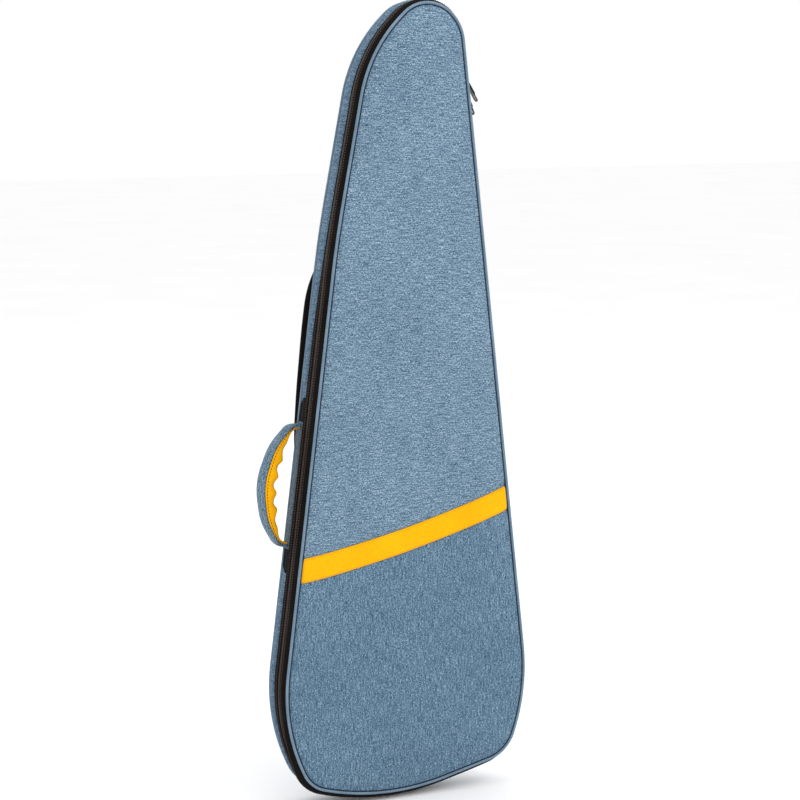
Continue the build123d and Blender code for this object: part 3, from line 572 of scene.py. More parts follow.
def plastic(name):
    m = Mat(name, rough=0.48, Specular_IOR_Level=0.14)
    fine = m.noise(m.coords("Object"), 2600.0, 2.0, 0.6)
    broad = m.noise(m.coords("Object"), 90.0, 3.0, 0.5)
    geo = m.nt.nodes.new("ShaderNodeNewGeometry")
    rub = m.ramp(m.math("ADD", geo.outputs["Pointiness"], m.math("MULTIPLY", broad, 0.04)),
                 [(0.54, (0, 0, 0)), (0.62, (1, 1, 1))])
    base = m.ramp(broad, [(0.3, (0.0040, 0.0036, 0.0034)), (0.7, (0.0085, 0.0078, 0.0074))])
    col = m.mix(m.math("MULTIPLY", rub, 0.04), base, (0.085, 0.083, 0.082, 1))
    return m.finish(col, m.bump(fine, 0.00009, 0.6), m.math("MULTIPLY_ADD", broad, 0.3, 0.3))


def air_mesh(name):
    m = Mat(name, rough=0.85, Sheen_Weight=0.2, Sheen_Roughness=0.5)
    cell = m.node("ShaderNodeTexVoronoi", {"feature": "F1"}, Vector=m.coords("UV", (1, 1, 1)), Scale=420.0,
                  Randomness=0.15).outputs[0]
    fib = m.noise(m.coords("UV"), 1500.0, 2.0, 0.6)
    v = m.math("MULTIPLY_ADD", fib, 0.15, cell)
    col = m.ramp(v, [(0.15, (0.004, 0.004, 0.0045)), (0.45, (0.030, 0.031, 0.033)), (0.8, (0.055, 0.056, 0.058))])
    return m.finish(col, m.bump(m.math("MINIMUM", cell, 0.5), 0.0009, 1.0))


BLUE = heather("heather_upper", tone=0.91)
# The lower front panel's heather, turned, is darker than the upper panel's (tone 0.75 against 0.91): partly the cloth's
# own tone, partly painted shade for light falling off towards the bag's bottom.
BLUE_LOW_TONE_AND_SHADE = heather("heather_lower_tone_and_shade", turned=True, tone=0.75, tint=(0.88, 0.97, 1.02))
# The gusset uses the panels' heather darkened (tone 0.64, bluer tint): painted shade of the bag's side, which faces
# away from the light.
BLUE_SIDE_SHADED = heather("heather_gusset_painted_shade", turned=True, tone=0.64, tint=(0.86, 0.97, 1.06))
BLUE_SIDE_LIGHT = heather("heather_handle", turned=False, tone=0.80)
# The strip under the carry handle is the heather at its darkest (tone 0.52): painted shade cast by the handle.
BLUE_BASE_SHADED = heather("heather_base_painted_shade", turned=False, tone=0.52)
BLUE_BACK = heather("heather_back", turned=True, tone=0.92, soft=0.72, tint=(0.94, 0.99, 1.03))
BLUE_PAD = heather("heather_pad", turned=True, tone=1.10, soft=0.70)
PIPING = cloth("piping_cloth", lin(74, 98, 118), lin(134, 156, 174), 0.0010, 0.85, 0.05, 0.00016, 0.003)
YELLOW = cloth("yellow_canvas", (0.84, 0.345, 0.001), (0.98, 0.50, 0.004), 0.0010, 0.78, 0.05, 0.0002, 0.007)
WEBBING = webbing("webbing_black")
TAPE = cloth("zipper_tape", (0.0020, 0.0017, 0.0015), (0.0125, 0.0100, 0.0088), 0.0011, 0.85, 0.006, 0.00025, 0.0025)
BINDING = cloth("binding_black", (0.0020, 0.0017, 0.0015), (0.0135, 0.0108, 0.0095), 0.0013, 0.82, 0.010, 0.0003, 0.003)
LINING = cloth("lining_grey", (0.030, 0.030, 0.033), (0.075, 0.075, 0.080), 0.0011, 0.6, 0.2, 0.0002, 0.01)
THREAD_DARK = cloth("thread_black", (0.003, 0.003, 0.003), (0.022, 0.020, 0.018), 0.0004, 0.6, 0.04, 0.0001, 0.001, "Object")
THREAD_BLUE = cloth("thread_navy", (0.022, 0.045, 0.075), (0.075, 0.120, 0.170), 0.0004, 0.7, 0.2, 0.0001, 0.001, "Object")
THREAD_GOLD = cloth("thread_gold", (0.45, 0.16, 0.002), (0.80, 0.33, 0.01), 0.0004, 0.6, 0.2, 0.0001, 0.001, "Object")
# Dark navy for the strip beside the piping: painted shade in the groove between piping and panel.
GROOVE_SHADE_NAVY = cloth("piping_groove_painted_shade", (0.007, 0.014, 0.027), (0.028, 0.050, 0.080), 0.0008, 0.9, 0.01, 0.0002, 0.003)
COIL = coil_mat("coil_nylon")
# Pale blue for the anchor triangles' folded rims: painted highlight where the fold catches the light.
FOLD_HIGHLIGHT = cloth("fold_edge_painted_highlight", lin(112, 142, 165), lin(186, 206, 222), 0.0010, 0.85, 0.03, 0.00016, 0.003)
DOTS = cloth("chain_dots", (0.090, 0.050, 0.038), (0.200, 0.120, 0.090), 0.0004, 0.7, 0.02, 0.0001, 0.001, "Object")
ENAMEL = enamel("black_enamel")
PLASTIC = plastic("black_plastic")
MESH = air_mesh("air_mesh")

# ------------------------------------------------------------------ the panels' padded shape
def panel_out(x, z, side):
    """How far a panel's cloth stands from the bag's mid-plane. side: -1 front, 1 back."""
    d, t = edge_of(x, z)
    e = max(0.0, d - 4.6)
    out = 28.9 + 2.7 * (1 - math.exp(-e / 4.2)) + 2.6 * (1 - math.exp(-e / 46.0))
    out += 0.42 * fuzz(t / 9.0, side * 7.0) * math.exp(-e / 9.0) * (1 - math.exp(-e / 1.5))
    if side > 0:
        q = (x + 88.0) * 0.955 - (z - 280.0) * 0.297
        r = (x + 88.0) * 0.297 + (z - 280.0) * 0.955
        out -= 5.0 * math.exp(-((q / 15.0) ** 2) - ((r / 95.0) ** 2)) * (1 - math.exp(-e / 22.0))
    slow = fuzz(x / 88.0 + side * 11, z / 150.0, 3.1) * 1.7 + fuzz(x / 36.0, z / 62.0, side * 5.2) * 0.55
    out += slow * (1 - math.exp(-e / 22.0))
    return out


# the yellow band's upper edge is an arc across the front panel; its width is measured square to it
def circle3(a, b, c):
    ax, ay, bx, by, cx, cy = *a, *b, *c
    dd = 2 * (ax * (by - cy) + bx * (cy - ay) + cx * (ay - by))
    ux = ((ax**2 + ay**2) * (by - cy) + (bx**2 + by**2) * (cy - ay) + (cx**2 + cy**2) * (ay - by)) / dd
    uy = ((ax**2 + ay**2) * (cx - bx) + (bx**2 + by**2) * (ax - cx) + (cx**2 + cy**2) * (bx - ax)) / dd
    return ux, uy, math.hypot(ax - ux, ay - uy)


BAND_CX, BAND_CZ, BAND_R = circle3((-200, 318.6), (-2.5, 356.3), (200, 420.9))
BAND_W = 31.0


def above_band(x, z, off=0.0):
    """Distance above the band's upper edge, moved down by off."""
    return (BAND_R + off) - math.hypot(x - BAND_CX, z - BAND_CZ)


def band_z(x, off):
    return BAND_CZ - math.sqrt((BAND_R + off) ** 2 - (x - BAND_CX) ** 2)


def inset_line(inset, step):
    t = spread(0, PERIMETER, step)[:-1]
    x, z, nx, nz = at(t)
    return np.stack([x - nx * inset, z - nz * inset], 1)


def clip(poly, g):
    """Keeps the part of a closed polygon where g >= 0, cutting its edges there."""
    out = []
    n = len(poly)
    for i in range(n):
        a, b = poly[i], poly[(i + 1) % n]
        ga, gb = g(*a), g(*b)
        if ga >= 0:
            out.append(tuple(a))
        if (ga >= 0) != (gb >= 0):
            f = ga / (ga - gb)
            out.append((a[0] + (b[0] - a[0]) * f, a[1] + (b[1] - a[1]) * f))
    return out


def densify(poly, step, curve=None):
    """Divides long edges; curve moves the new points onto their line."""
    out = []
    n = len(poly)
    for i in range(n):
        a, b = poly[i], poly[(i + 1) % n]
        out.append(tuple(a))
        k = int(math.dist(a, b) / step)
        for q in range(1, k):
            p = (a[0] + (b[0] - a[0]) * q / k, a[1] + (b[1] - a[1]) * q / k)
            out.append(curve(p) if curve else p)
    return out


def fill(boundary, inner):
    """Triangles inside a boundary, using the inner points too."""
    pts = [Vector(p) for p in boundary] + [Vector(p) for p in inner]
    loop = list(range(len(boundary)))
    v, _, f, _, _, _ = geometry.delaunay_2d_cdt(pts, [], [loop], 1, 1e-5)
    return np.array([(p[0], p[1]) for p in v]), [list(t) for t in f]


def closed_patch(name, pts, faces, low, high, mat, uv_scale=1.0, side=-1):
    """A closed sheet over a flat mesh: low and high are the distances from the mid-plane at each point."""
    n = len(pts)
    top = np.stack([pts[:, 0], side * high, pts[:, 1]], 1)
    bot = np.stack([pts[:, 0], side * low, pts[:, 1]], 1)
    fs = [list(f) for f in faces] + [[q + n for q in f[::-1]] for f in faces]
    count = {}
    for f in faces:
        for a, b in zip(f, f[1:] + f[:1]):
            key = (min(a, b), max(a, b))
            count[key] = None if key in count else (a, b)
    for ab in count.values():
        if ab:
            a, b = ab
            fs.append([b, a, a + n, b + n])
    verts = np.vstack([top, bot])
    uv = [(verts[q][0] / 1000.0, verts[q][2] / 1000.0) for f in fs for q in f]
    return make(name, verts, fs, uv, mat)


def grid_points(keep, step=9.0, clear=30.0):
    out = []
    row_i = 0
    z = 6.0
    while z < 1030:
        x = -176 + (row_i % 2) * step / 2
        while x < 176:
            if keep(x, z):
                d, _ = edge_of(x, z)
                if d > clear and inside(x, z):
                    out.append((x, z))
            x += step
        z += step * 0.866
        row_i += 1
    return out


OUT_POLY = OUT_P[:-1:6]


def inside(x, z):
    p = OUT_POLY
    q = np.roll(p, -1, 0)
    cond = (p[:, 1] > z) != (q[:, 1] > z)
    xs = p[cond, 0] + (z - p[cond, 1]) * (q[cond, 0] - p[cond, 0]) / (q[cond, 1] - p[cond, 1])
    return (xs > x).sum() % 2 == 1


RING_INSETS = [5.4, 6.6, 8.4, 11.0, 14.5, 19.0, 24.5]
RING_PTS = [tuple(p) for k, d in enumerate(RING_INSETS) for p in inset_line(d, 5.5 + k * 0.35)]
GRID_PTS = grid_points(lambda x, z: True)


def band_rows(offs):
    out = []
    for off in offs:
        for x in np.arange(-170, 172, 5.0):
            z = band_z(x, off)
            if inside(x, z) and edge_of(x, z)[0] > 6.2:
                out.append((x, z))
    return out


def panel_patch(name, g, rows, mat, groove, side, node_thick=1.2, lift=0.0, inset=4.7):
    """One cloth patch of a panel: g(x, z) >= 0 inside it."""
    edge = clip([tuple(p) for p in inset_line(inset, 5.0)], g)
    edge = densify(edge, 6.0, None)
    inner = [p for p in RING_PTS if g(*p) > 9.0] + [p for p in GRID_PTS if g(*p) > 9.0] + rows
    pts, faces = fill(edge, inner)
    high = np.array([panel_out(x, z, side) + groove(x, z) + lift for x, z in pts])
    obj = closed_patch(name, pts, faces, high - node_thick, high, mat, side=side)
    return obj


def on_arc(off):
    return lambda p: (p[0], band_z(p[0], off))


def snap_band(edge, off, tol=2.5):
    out = []
    for p in edge:
        if abs(above_band(p[0], p[1], off)) < tol:
            out.append((p[0], band_z(p[0], off)))
        else:
            out.append(p)
    return out


def split_patch(name, which, mat, thick, lift=0.0):
    gap = 0.25
    if which == "upper":
        g = lambda x, z: above_band(x, z, -gap)
        offs, gr = [-1.2, -2.6, -4.6, -7.4], lambda x, z: -1.5 * math.exp(-abs(above_band(x, z)) / 1.8)
    elif which == "lower":
        g = lambda x, z: -above_band(x, z, BAND_W + gap)
        offs, gr = [BAND_W + k for k in (1.2, 2.6, 4.6, 7.4)], lambda x, z: -1.5 * math.exp(-abs(above_band(x, z, BAND_W)) / 1.8)
    else:
        g = lambda x, z: min(-above_band(x, z), above_band(x, z, BAND_W))
        offs = [1.0, 2.4, 4.4, 8.0, 13.0, 18.0, 23.0, 26.6, 28.6, 30.0]
        gr = lambda x, z: -1.1 * math.exp(-max(0.0, -above_band(x, z)) / 1.1) - 1.1 * math.exp(-max(0.0, above_band(x, z, BAND_W)) / 1.1)
    edge = clip([tuple(p) for p in inset_line(4.7, 5.0)], g)
    # the cut edge follows its arc
    dense = []
    n = len(edge)
    for i in range(n):
        a, b = edge[i], edge[(i + 1) % n]
        dense.append(a)
        length = math.dist(a, b)
        if length > 12:
            off = 0.0
            if which == "upper":
                off = -gap
            elif which == "lower":
                off = BAND_W + gap
            else:
                off = 0.0 if abs(above_band(*a)) < 1.0 else BAND_W
            k = int(length / 5.0)
            for q in range(1, k):
                x = a[0] + (b[0] - a[0]) * q / k
                dense.append((x, band_z(x, off)))
    rows = band_rows(offs)
    if which == "band":
        inner = rows
    else:
        inner = [p for p in RING_PTS if g(*p) > 9.0] + [p for p in GRID_PTS if g(*p) > 9.5] + rows
    pts, faces = fill(dense, inner)
    high = np.array([panel_out(x, z, -1) + gr(x, z) + lift for x, z in pts])
    return closed_patch(name, pts, faces, high - thick, high, mat, side=-1)


upper = place(split_patch("front_cloth_upper", "upper", BLUE, 1.3), "lid", "blue_fabric", "front_panel_upper")
lower = place(split_patch("front_cloth_lower", "lower", BLUE_LOW_TONE_AND_SHADE, 1.3), "lid", "blue_fabric", "front_panel_lower")
band = place(split_patch("front_cloth_band", "band", YELLOW, 1.5, 0.25), "lid", "yellow_cloth", "front_band")


def whole_patch(name, mat, side, low, high, inset, lift=0.0):
    edge = [tuple(p) for p in inset_line(inset, 5.0)]
    inner = [p for p in RING_PTS if edge_of(*p)[0] > inset + 0.9] + GRID_PTS
    pts, faces = fill(edge, inner)
    hi = np.array([high(x, z) for x, z in pts])
    lo = np.array([low(x, z) for x, z in pts])
    return closed_patch(name, pts, faces, lo, hi, mat, side=side)


def soft_edge(x, z, edge, full, inset, soft=4.0):
    d, _ = edge_of(x, z)
    return edge + (full - edge) * (1 - math.exp(-max(0.0, d - inset) / soft))


INNER = abs(float(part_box("front_panel_lining")[1][1] - rowv(0, 0, 0)[1])) * 1000.0
front_pad = whole_patch("front_pad_lining", LINING, -1,
                        lambda x, z: soft_edge(x, z, 25.5, INNER - 0.3 + 0.5 * fuzz(x / 40, z / 60, 9), 6.4),
                        lambda x, z: min(panel_out(x, z, -1) - 1.9, soft_edge(x, z, 27.0, 40.0, 6.4, 8.0)), 6.4)
place(front_pad, "lid", "lining", "front_panel_foam", "front_panel_lining")

back_cloth = whole_patch("back_cloth", BLUE_BACK, 1, lambda x, z: panel_out(x, z, 1) - 1.3,
                         lambda x, z: panel_out(x, z, 1), 4.7)
place(back_cloth, "body", "blue_fabric", "back_panel_fabric")
back_pad = whole_patch("back_pad_lining", LINING, 1,
                       lambda x, z: soft_edge(x, z, 25.5, INNER - 0.3 + 0.5 * fuzz(x / 40, z / 60, 4), 6.4),
                       lambda x, z: min(panel_out(x, z, 1) - 1.9, soft_edge(x, z, 27.0, 40.0, 6.4, 8.0)), 6.4)
place(back_pad, "body", "lining", "back_panel_foam", "back_panel_lining")

# stitches along the band's two edges
for tag, off in (("upper", 2.0), ("lower", BAND_W - 2.0)):
    xs = np.arange(-165, 165, 2.0)
    line = [(x, band_z(x, off)) for x in xs if inside(x, band_z(x, off)) and edge_of(x, band_z(x, off))[0] > 6.5]
    p3 = [(x, -(panel_out(x, z, -1) + 0.25 - 1.1 * math.exp(-2.0 / 1.1)) - 0.05, z) for x, z in line]
    place(stitches("band_stitches_" + tag, p3, [(0, -1, 0)] * len(p3), THREAD_GOLD, 3.6, 2.6, 0.26), "lid", "yellow_cloth")

# ------------------------------------------------------------------ piping, and its sewn-down flange coloured dark as painted groove shade
WHOLE = spread(0, PERIMETER, 4.0)[:-1]


def piping(name, y, side):
    rings = []
    xs, zs, nx, nz = at(WHOLE)
    for k, t in enumerate(WHOLE):
        r = 1.80 + 0.08 * fuzz(t / 5.0, side * 3.0) + 0.05 * fuzz(t / 1.7, side * 9.0)
        w = np.linspace(0, 2 * math.pi, 14, endpoint=False)
        d = 1.95 + r * np.cos(w)
        yy = y + r * np.sin(w)
        rings.append(np.stack([xs[k] - nx[k] * d, yy, zs[k] - nz[k] * d], 1))
    v, f, uv = loft(rings, close_path=True, swap=False)
    return make(name, v, f, uv, PIPING)


def groove_shade_strip(name, y, side, inset=4.2):
    """The sewn-down flange beside the piping, coloured dark navy: painted shade of the groove between piping and panel.
    """
    def section(t):
        return [(inset - 0.9, y - side * 0.8), (inset - 0.7, y + side * 0.45), (inset + 0.35, y + side * 0.65),
                (inset + 1.6, y + side * 0.5), (inset + 2.0, y - side * 0.8)]
    v, f, uv = loft(along_outline(WHOLE, section), close_path=True)
    return make(name, v, f, uv, GROOVE_SHADE_NAVY)


place(piping("front_piping_cord", -29.0, -1), "lid", "piping", "front_piping")
place(piping("back_piping_cord", 29.0, 1), "body", "piping", "back_piping")
place(groove_shade_strip("front_piping_groove_shade", -28.9, -1), "lid", "blue_fabric")
place(groove_shade_strip("back_piping_groove_shade", 28.9, 1), "body", "blue_fabric")

# ------------------------------------------------------------------ zipper tapes, coil and gusset
ZIP = spread(T_PARK, PERIMETER, 4.0)
PARK = spread(T_HIGH, T_PARK, 3.0)
HINGE = spread(0.0, T_HIGH, 6.0)


def near_slider(t):
    """1 beside the sliders and along the parked length, falling to 0 away from it."""
    a = max(0.0, (t - T_PARK) if t >= T_PARK - 0.01 else 0.0)
    return math.exp(-((a / 14.0) ** 2))


def smooth01(f):
    f = min(1.0, max(0.0, f))
    return f * f * (3 - 2 * f)


def low_bulge(t):
    """The zip's side hangs fuller under the bag's lower end."""
    return smooth01((110 - at(t)[1]) / 85.0) * smooth01((PERIMETER - 90 - t) / 130.0)


def rear_edge(t):
    """Where the rear tape meets the gusset: wider below the neck than beside the head."""
    return 0.5 + 11.1 * smooth01((760 - at(t)[1]) / 170.0) if at(t)[0] < 0 or at(t)[1] < 400 else 0.5


def front_tape_section(t):
    k = 1 - near_slider(t)
    w = 0.35 * fuzz(t / 26.0, 2.0) * k
    s = low_bulge(t)
    outer = [(2.0, -28.4), (1.4 - 1.7 * k - 1.4 * s, -25.9), (1.2 - 3.7 * k + w - 3.0 * s, -22.0), (1.0 - 4.4 * k + w - 3.6 * s, -17.5),
             (1.0 - 3.4 * k + w - 2.8 * s, -13.4), (1.5 - 1.2 * k - 1.2 * s, -10.2), (2.5 - 0.6 * k - 0.4 * s, -8.35)]
    return slab(outer, 0.9)


def rear_tape_section(t):
    k = 1 - near_slider(t)
    w = 0.3 * fuzz(t / 23.0, 6.0) * k
    e = (rear_edge(t) + 6.85) / 18.45
    outer = [(2.5 - 0.6 * k, -6.85), (1.7 - 1.4 * k, -6.85 + 1.85 * e), (1.3 - 3.0 * k * e + w, -6.85 + 5.85 * e),
             (1.2 - 3.2 * k * e + w, -6.85 + 10.35 * e), (1.5 - 2.2 * k, -6.85 + 14.85 * e), (2.4 - 0.8 * k, -6.85 + 18.45 * e)]
    return slab(outer, 0.9)


def gusset_section(t):
    hz = at(t)[1]
    hx = at(t)[0]
    tame = 0.0
    if hx < 0 and 270 < hz < 550:
        tame = min(1.0, (hz - 270) / 22.0, (550 - hz) / 22.0)
    k = 1 - tame
    w = (0.45 * fuzz(t / 31.0, 4.0) + 0.2 * fuzz(t / 11.0, 8.0)) * k
    pleat = 0.35 * fuzz(t / 8.0, 1.0) * k
    near = 1 - near_slider(t) if t >= T_PARK else 0.0
    b = near * k
    y0 = rear_edge(t) - 2.0 if t >= T_PARK else -1.5 + 11.1 * smooth01((T_HIGH + 14 - t) / 14.0)
    g = (28.4 - y0) / 18.8
    yy = lambda y: 28.4 - (28.4 - y) * g
    outer = [(2.1, yy(9.6)), (1.35 + 0.5 * tame - 1.5 * b, yy(10.2)), (1.3 + 0.6 * tame - 2.4 * b + pleat * 0.5, yy(12.5)), (1.0 + 1.0 * tame - 2.9 * b + w, yy(15.5)),
             (0.9 + 1.1 * tame - 2.8 * b + w, yy(19.0)), (1.1 + 0.9 * tame - 1.9 * b + w, yy(22.5)), (1.6 + 0.5 * tame - 0.6 * b + pleat * 0.6, yy(25.3)),
             (2.1, 28.4)]
    return slab(outer, 1.2)


T_SHOWN = PERIMETER - 236.0
SHOWN = spread(T_PARK, T_SHOWN, 4.0)
PLAIN = spread(T_SHOWN - 3.0, PERIMETER, 4.0)
v, f, uv = loft(along_outline(SHOWN, front_tape_section))
place(make("zipper_tape_front_cloth", v, f, uv, TAPE), "lid", "zipper_tape", "zipper_tape_front")
v, f, uv = loft(along_outline(SHOWN, rear_tape_section))
place(make("zipper_tape_rear_cloth", v, f, uv, TAPE), "body", "zipper_tape", "zipper_tape_rear")


def plain_front_section(t):
    w = 0.3 * fuzz(t / 21.0, 12.0)
    s, k = low_bulge(t), smooth01((PERIMETER + 2 - t) / 40.0) * (1 - 0.75 * smooth01((t - T_BLUE + 40) / 40.0))
    outer = [(2.0, -28.4), (1.4 - 1.7 * k - 1.4 * s, -25.9), (1.2 - 3.7 * k + w - 3.0 * s, -22.0), (1.0 - 4.4 * k + w - 3.6 * s, -17.5),
             (1.0 - 3.4 * k + w - 2.8 * s, -13.4), (0.9 - 1.6 * k - 1.0 * s, -9.4), (1.0 - 1.0 * k, -7.75), (2.2, -7.7)]
    return slab(outer, 0.9)


def plain_rear_section(t):
    w = 0.3 * fuzz(t / 21.0, 16.0)
    k = smooth01((PERIMETER + 2 - t) / 40.0)
    outer = [(2.2, -7.5), (1.0 - 1.2 * k, -7.45), (1.1 - 2.6 * k, -6.2), (1.1 - 3.2 * k + w, -3.0), (1.0 - 3.2 * k + w, 3.0), (1.0 - 2.6 * k + w, 8.0),
             (1.3 - 1.4 * k, 11.4), (2.2, 12.0)]
    return slab(outer, 1.1)


T_BLUE = PERIMETER - 135.0
v, f, uv = loft(along_outline(spread(T_SHOWN - 3.0, T_BLUE, 4.0), plain_front_section))
place(make("zipper_tape_front_fold", v, f, uv, TAPE), "lid", "zipper_tape")
v, f, uv = loft(along_outline(spread(T_BLUE - 3.0, PERIMETER, 4.0), plain_front_section))
place(make("gusset_fold_front", v, f, uv, BLUE_SIDE_SHADED), "lid", "blue_fabric")
v, f, uv = loft(along_outline(PLAIN, plain_rear_section))
place(make("gusset_fold_rear", v, f, uv, BLUE_SIDE_SHADED), "body", "blue_fabric")
ALONG = spread(T_HIGH - 4, PERIMETER + 4, 4.0)
v, f, uv = loft(along_outline(ALONG, gusset_section))
place(make("gusset_cloth_zip_side", v, f, uv, BLUE_SIDE_SHADED), "body", "blue_fabric", "gusset_zip_side_fabric")


def parked_front_section(t):
    outer = [(2.6, -27.2), (2.0, -25.0), (1.7, -20.0), (1.7, -13.0), (1.9, -10.5), (2.5, -9.2)]
    return slab(outer, 0.9)


def parked_rear_section(t):
    outer = [(2.5, -6.0), (1.9, -4.7), (1.7, -2.0), (1.7, 3.0), (1.9, 8.0), (2.9, 11.4)]
    return slab(outer, 0.9)


v1, f1, u1 = loft(along_outline(PARK, parked_front_section))
v2, f2, u2 = loft(along_outline(PARK, parked_rear_section))
parked = make("zipper_parked_cloth", np.vstack([v1, v2]), f1 + [[q + len(v1) for q in g] for g in f2], np.vstack([u1, u2]), TAPE)
place(parked, "body", "zipper_tape", "zipper_parked_tape")


def hinge_section(t):
    w = 0.4 * fuzz(t / 33.0, 14.0)
    end = min(1.0, (t + 2) / 20.0, (T_HIGH + 2 - t) / 20.0)
    outer = [(2.0, -28.4), (1.7, -25.4), (2.0, -21.35), (2.0 - 0.5 * end + w * end, -17.0), (1.9 - 0.9 * end + w * end, -9.0),
             (1.9 - 1.0 * end + w * end, 0.0), (1.9 - 1.0 * end + w * end, 9.0), (1.9 - 0.8 * end + w * end, 18.0),
             (1.7, 25.2), (2.0, 28.4)]
    return slab(outer, 1.2)


v, f, uv = loft(along_outline(HINGE, hinge_section))
hinge = make("gusset_cloth_hinge_side", v, f, uv, BLUE_SIDE_SHADED)
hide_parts("gusset_hinge_side_fabric")
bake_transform(hinge)


def foam_piece(name, ts, y0, y1, d0, d1, *nodes):
    def section(t):
        w = 0.3 * fuzz(t / 20.0, y0)
        r = 2.2
        return [(d0 + r * 0.4, y0), (d0, y0 + r), (d0, y1 - r), (d0 + r * 0.4, y1), (d1 - r, y1), (d1 - 0.4 + w, y1 - r),
                (d1 + w, (y0 + y1) / 2), (d1 - 0.4 + w, y0 + r), (d1 - r, y0)]
    v, f, uv = loft(along_outline(ts, section))
    obj = make(name, v, f, uv, LINING)
    place(obj, "body", "lining", *nodes)
    return obj


def span_y(node):
    lo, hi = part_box(node)
    return (lo[1] - SHIFT[1]) * 1000.0, (hi[1] - SHIFT[1]) * 1000.0


zy0, zy1 = span_y("gusset_zip_side_foam")
foam_piece("gusset_pad_zip_side", spread(T_HIGH + 6, PERIMETER - 3, 6.0), max(zy0, -1.6) + 0.2, min(zy1, 24.0), 4.2, 10.2,
           "gusset_zip_side_foam", "gusset_zip_side_lining")
hy0, hy1 = span_y("gusset_hinge_side_foam")
foam_piece("gusset_pad_hinge_side", spread(0.5, T_HIGH - 0.5, 8.0), hy0 + 0.2, min(hy1, 24.0), 4.0, 10.2,
           "gusset_hinge_side_foam", "gusset_hinge_side_lining")


# coil: each tooth is a bent loop of nylon, leaning over the slot
def coil_row(name, t0, t1, y_root, y_tip, slot_nodes, body, inset=0.95, phase=0.0, pitch=2.0, rise=False):
    n = int((t1 - t0) / pitch)
    ts = t0 + (np.arange(n) + 0.5 + phase) * (t1 - t0) / n
    ts = np.clip(ts, t0 + 0.6, t1 - 0.6)
    xs, zs, nx, nz = at(ts)
    proto, faces = [], []
    sides, rings = 6, 6
    s = 1.0 if y_tip > y_root else -1.0
    length = abs(y_tip - y_root)
    for r in range(rings):
        a = r / (rings - 1)
        head = 0.62 if a < 0.72 else 0.62 + 0.16 * math.sin((a - 0.72) / 0.28 * math.pi)
        rise = 0.55 * math.sin(min(1.0, a * 1.15) * math.pi * 0.75)
        for q in range(sides):
            w = 2 * math.pi * q / sides
            end = 0.55 if r in (0, rings - 1) else 1.0
            proto.append((head * end * math.cos(w), s * a * length, 0.62 * end * math.sin(w) + rise))
    for r in range(rings - 1):
        for q in range(sides):
            q2 = (q + 1) % sides
            faces.append([r * sides + q, r * sides + q2, (r + 1) * sides + q2, (r + 1) * sides + q])
    faces.append(list(range(sides))[::-1])
    faces.append([(rings - 1) * sides + q for q in range(sides)])
    lift = np.array([(1 - near_slider(t)) * 1.3 if rise else 0.0 for t in ts])
    o = np.stack([xs - nx * (inset + 0.5 - lift), np.full(n, y_root), zs - nz * (inset + 0.5 - lift)], 1)
    ez = np.stack([nx, np.zeros(n), nz], 1)
    ey = np.tile([0.0, 1.0, 0.0], (n, 1))
    ex = np.cross(ey, ez)
    v, f = copies(proto, faces, o, ex, ey, ez)
    # the cord the loops are sewn over
    cord = along_outline(spread(t0, t1, 5.0), lambda t: [
        (inset + 1.2 - ((1 - near_slider(t)) * 1.3 if rise else 0.0) + a, y_root + s * e)
        for a, e in ((0, -0.2), (-1.1, 0), (-1.1, 1.0), (0, 1.2))])
    v2, f2, _ = loft(cord)
    obj = make(name, np.vstack([v, v2]), f + [[q + len(v) for q in g] for g in f2], None, COIL)
    place(obj, body, "zipper_coil", *slot_nodes)
    return obj


coil_row("coil_front", T_PARK, T_SHOWN + 2, SEAM_Y - 3.7, SEAM_Y + 0.35, ["zipper_teeth_front"], "lid", phase=0.0, rise=True)
coil_row("coil_rear", T_PARK, T_SHOWN + 2, SEAM_Y + 3.7, SEAM_Y - 0.35, ["zipper_teeth_rear"], "body", phase=0.25, rise=True)
coil_row("coil_parked_front", T_HIGH, T_PARK, SEAM_Y - 3.7, SEAM_Y - 0.75, ["zipper_parked_teeth"], "body", phase=0.0)
coil_row("coil_parked_rear", T_HIGH, T_PARK, SEAM_Y + 3.7, SEAM_Y + 0.75, [], "body", phase=0.25)

# stitch lines: gusset's folded edge over the tape, and the tape along the front piping
def outline_stitches(name, ts, inset, y, mat, body, slot, pitch=3.4, length=2.5, radius=0.28, closed=False):
    xs, zs, nx, nz = at(ts)
    p = np.stack([xs - nx * inset, np.full(len(ts), y), zs - nz * inset], 1)
    nn = np.stack([nx, np.zeros(len(ts)), nz], 1)
    return place(stitches(name, p, nn, mat, pitch, length, radius, closed), body, slot)


outline_stitches("gusset_stitches", [t for t in spread(T_PARK + 26, PERIMETER - 30, 4.0) if at(t)[0] < 0 and at(t)[1] < 560], -1.05, 12.6, THREAD_BLUE, "body", "blue_fabric")

def tape_stitches(name, ts, spot, mat, body):
    """A dotted line along a tape, at the (inset, y) that spot gives for each t."""
    ts = np.asarray(ts, float)
    xs, zs, nx, nz = at(ts)
    dy = np.array([spot(t) for t in ts])
    p = np.stack([xs - nx * dy[:, 0], dy[:, 1], zs - nz * dy[:, 0]], 1)
    nn = np.stack([nx, np.zeros(len(ts)), nz], 1)
    return place(stitches(name, p, nn, mat, 3.4, 1.7, 0.60), body, "zipper_coil")


def front_spot(t):
    k, w, s = 1 - near_slider(t), 0.35 * fuzz(t / 26.0, 2.0) * (1 - near_slider(t)), low_bulge(t)
    return 1.1 - 4.05 * k + w - 3.3 * s - 0.05, -19.75


def rear_spot(t):
    k, w, e = 1 - near_slider(t), 0.3 * fuzz(t / 23.0, 6.0) * (1 - near_slider(t)), (rear_edge(t) + 6.85) / 18.45
    return 1.3 - 3.0 * k * e + w - 0.1, -6.85 + 5.85 * e


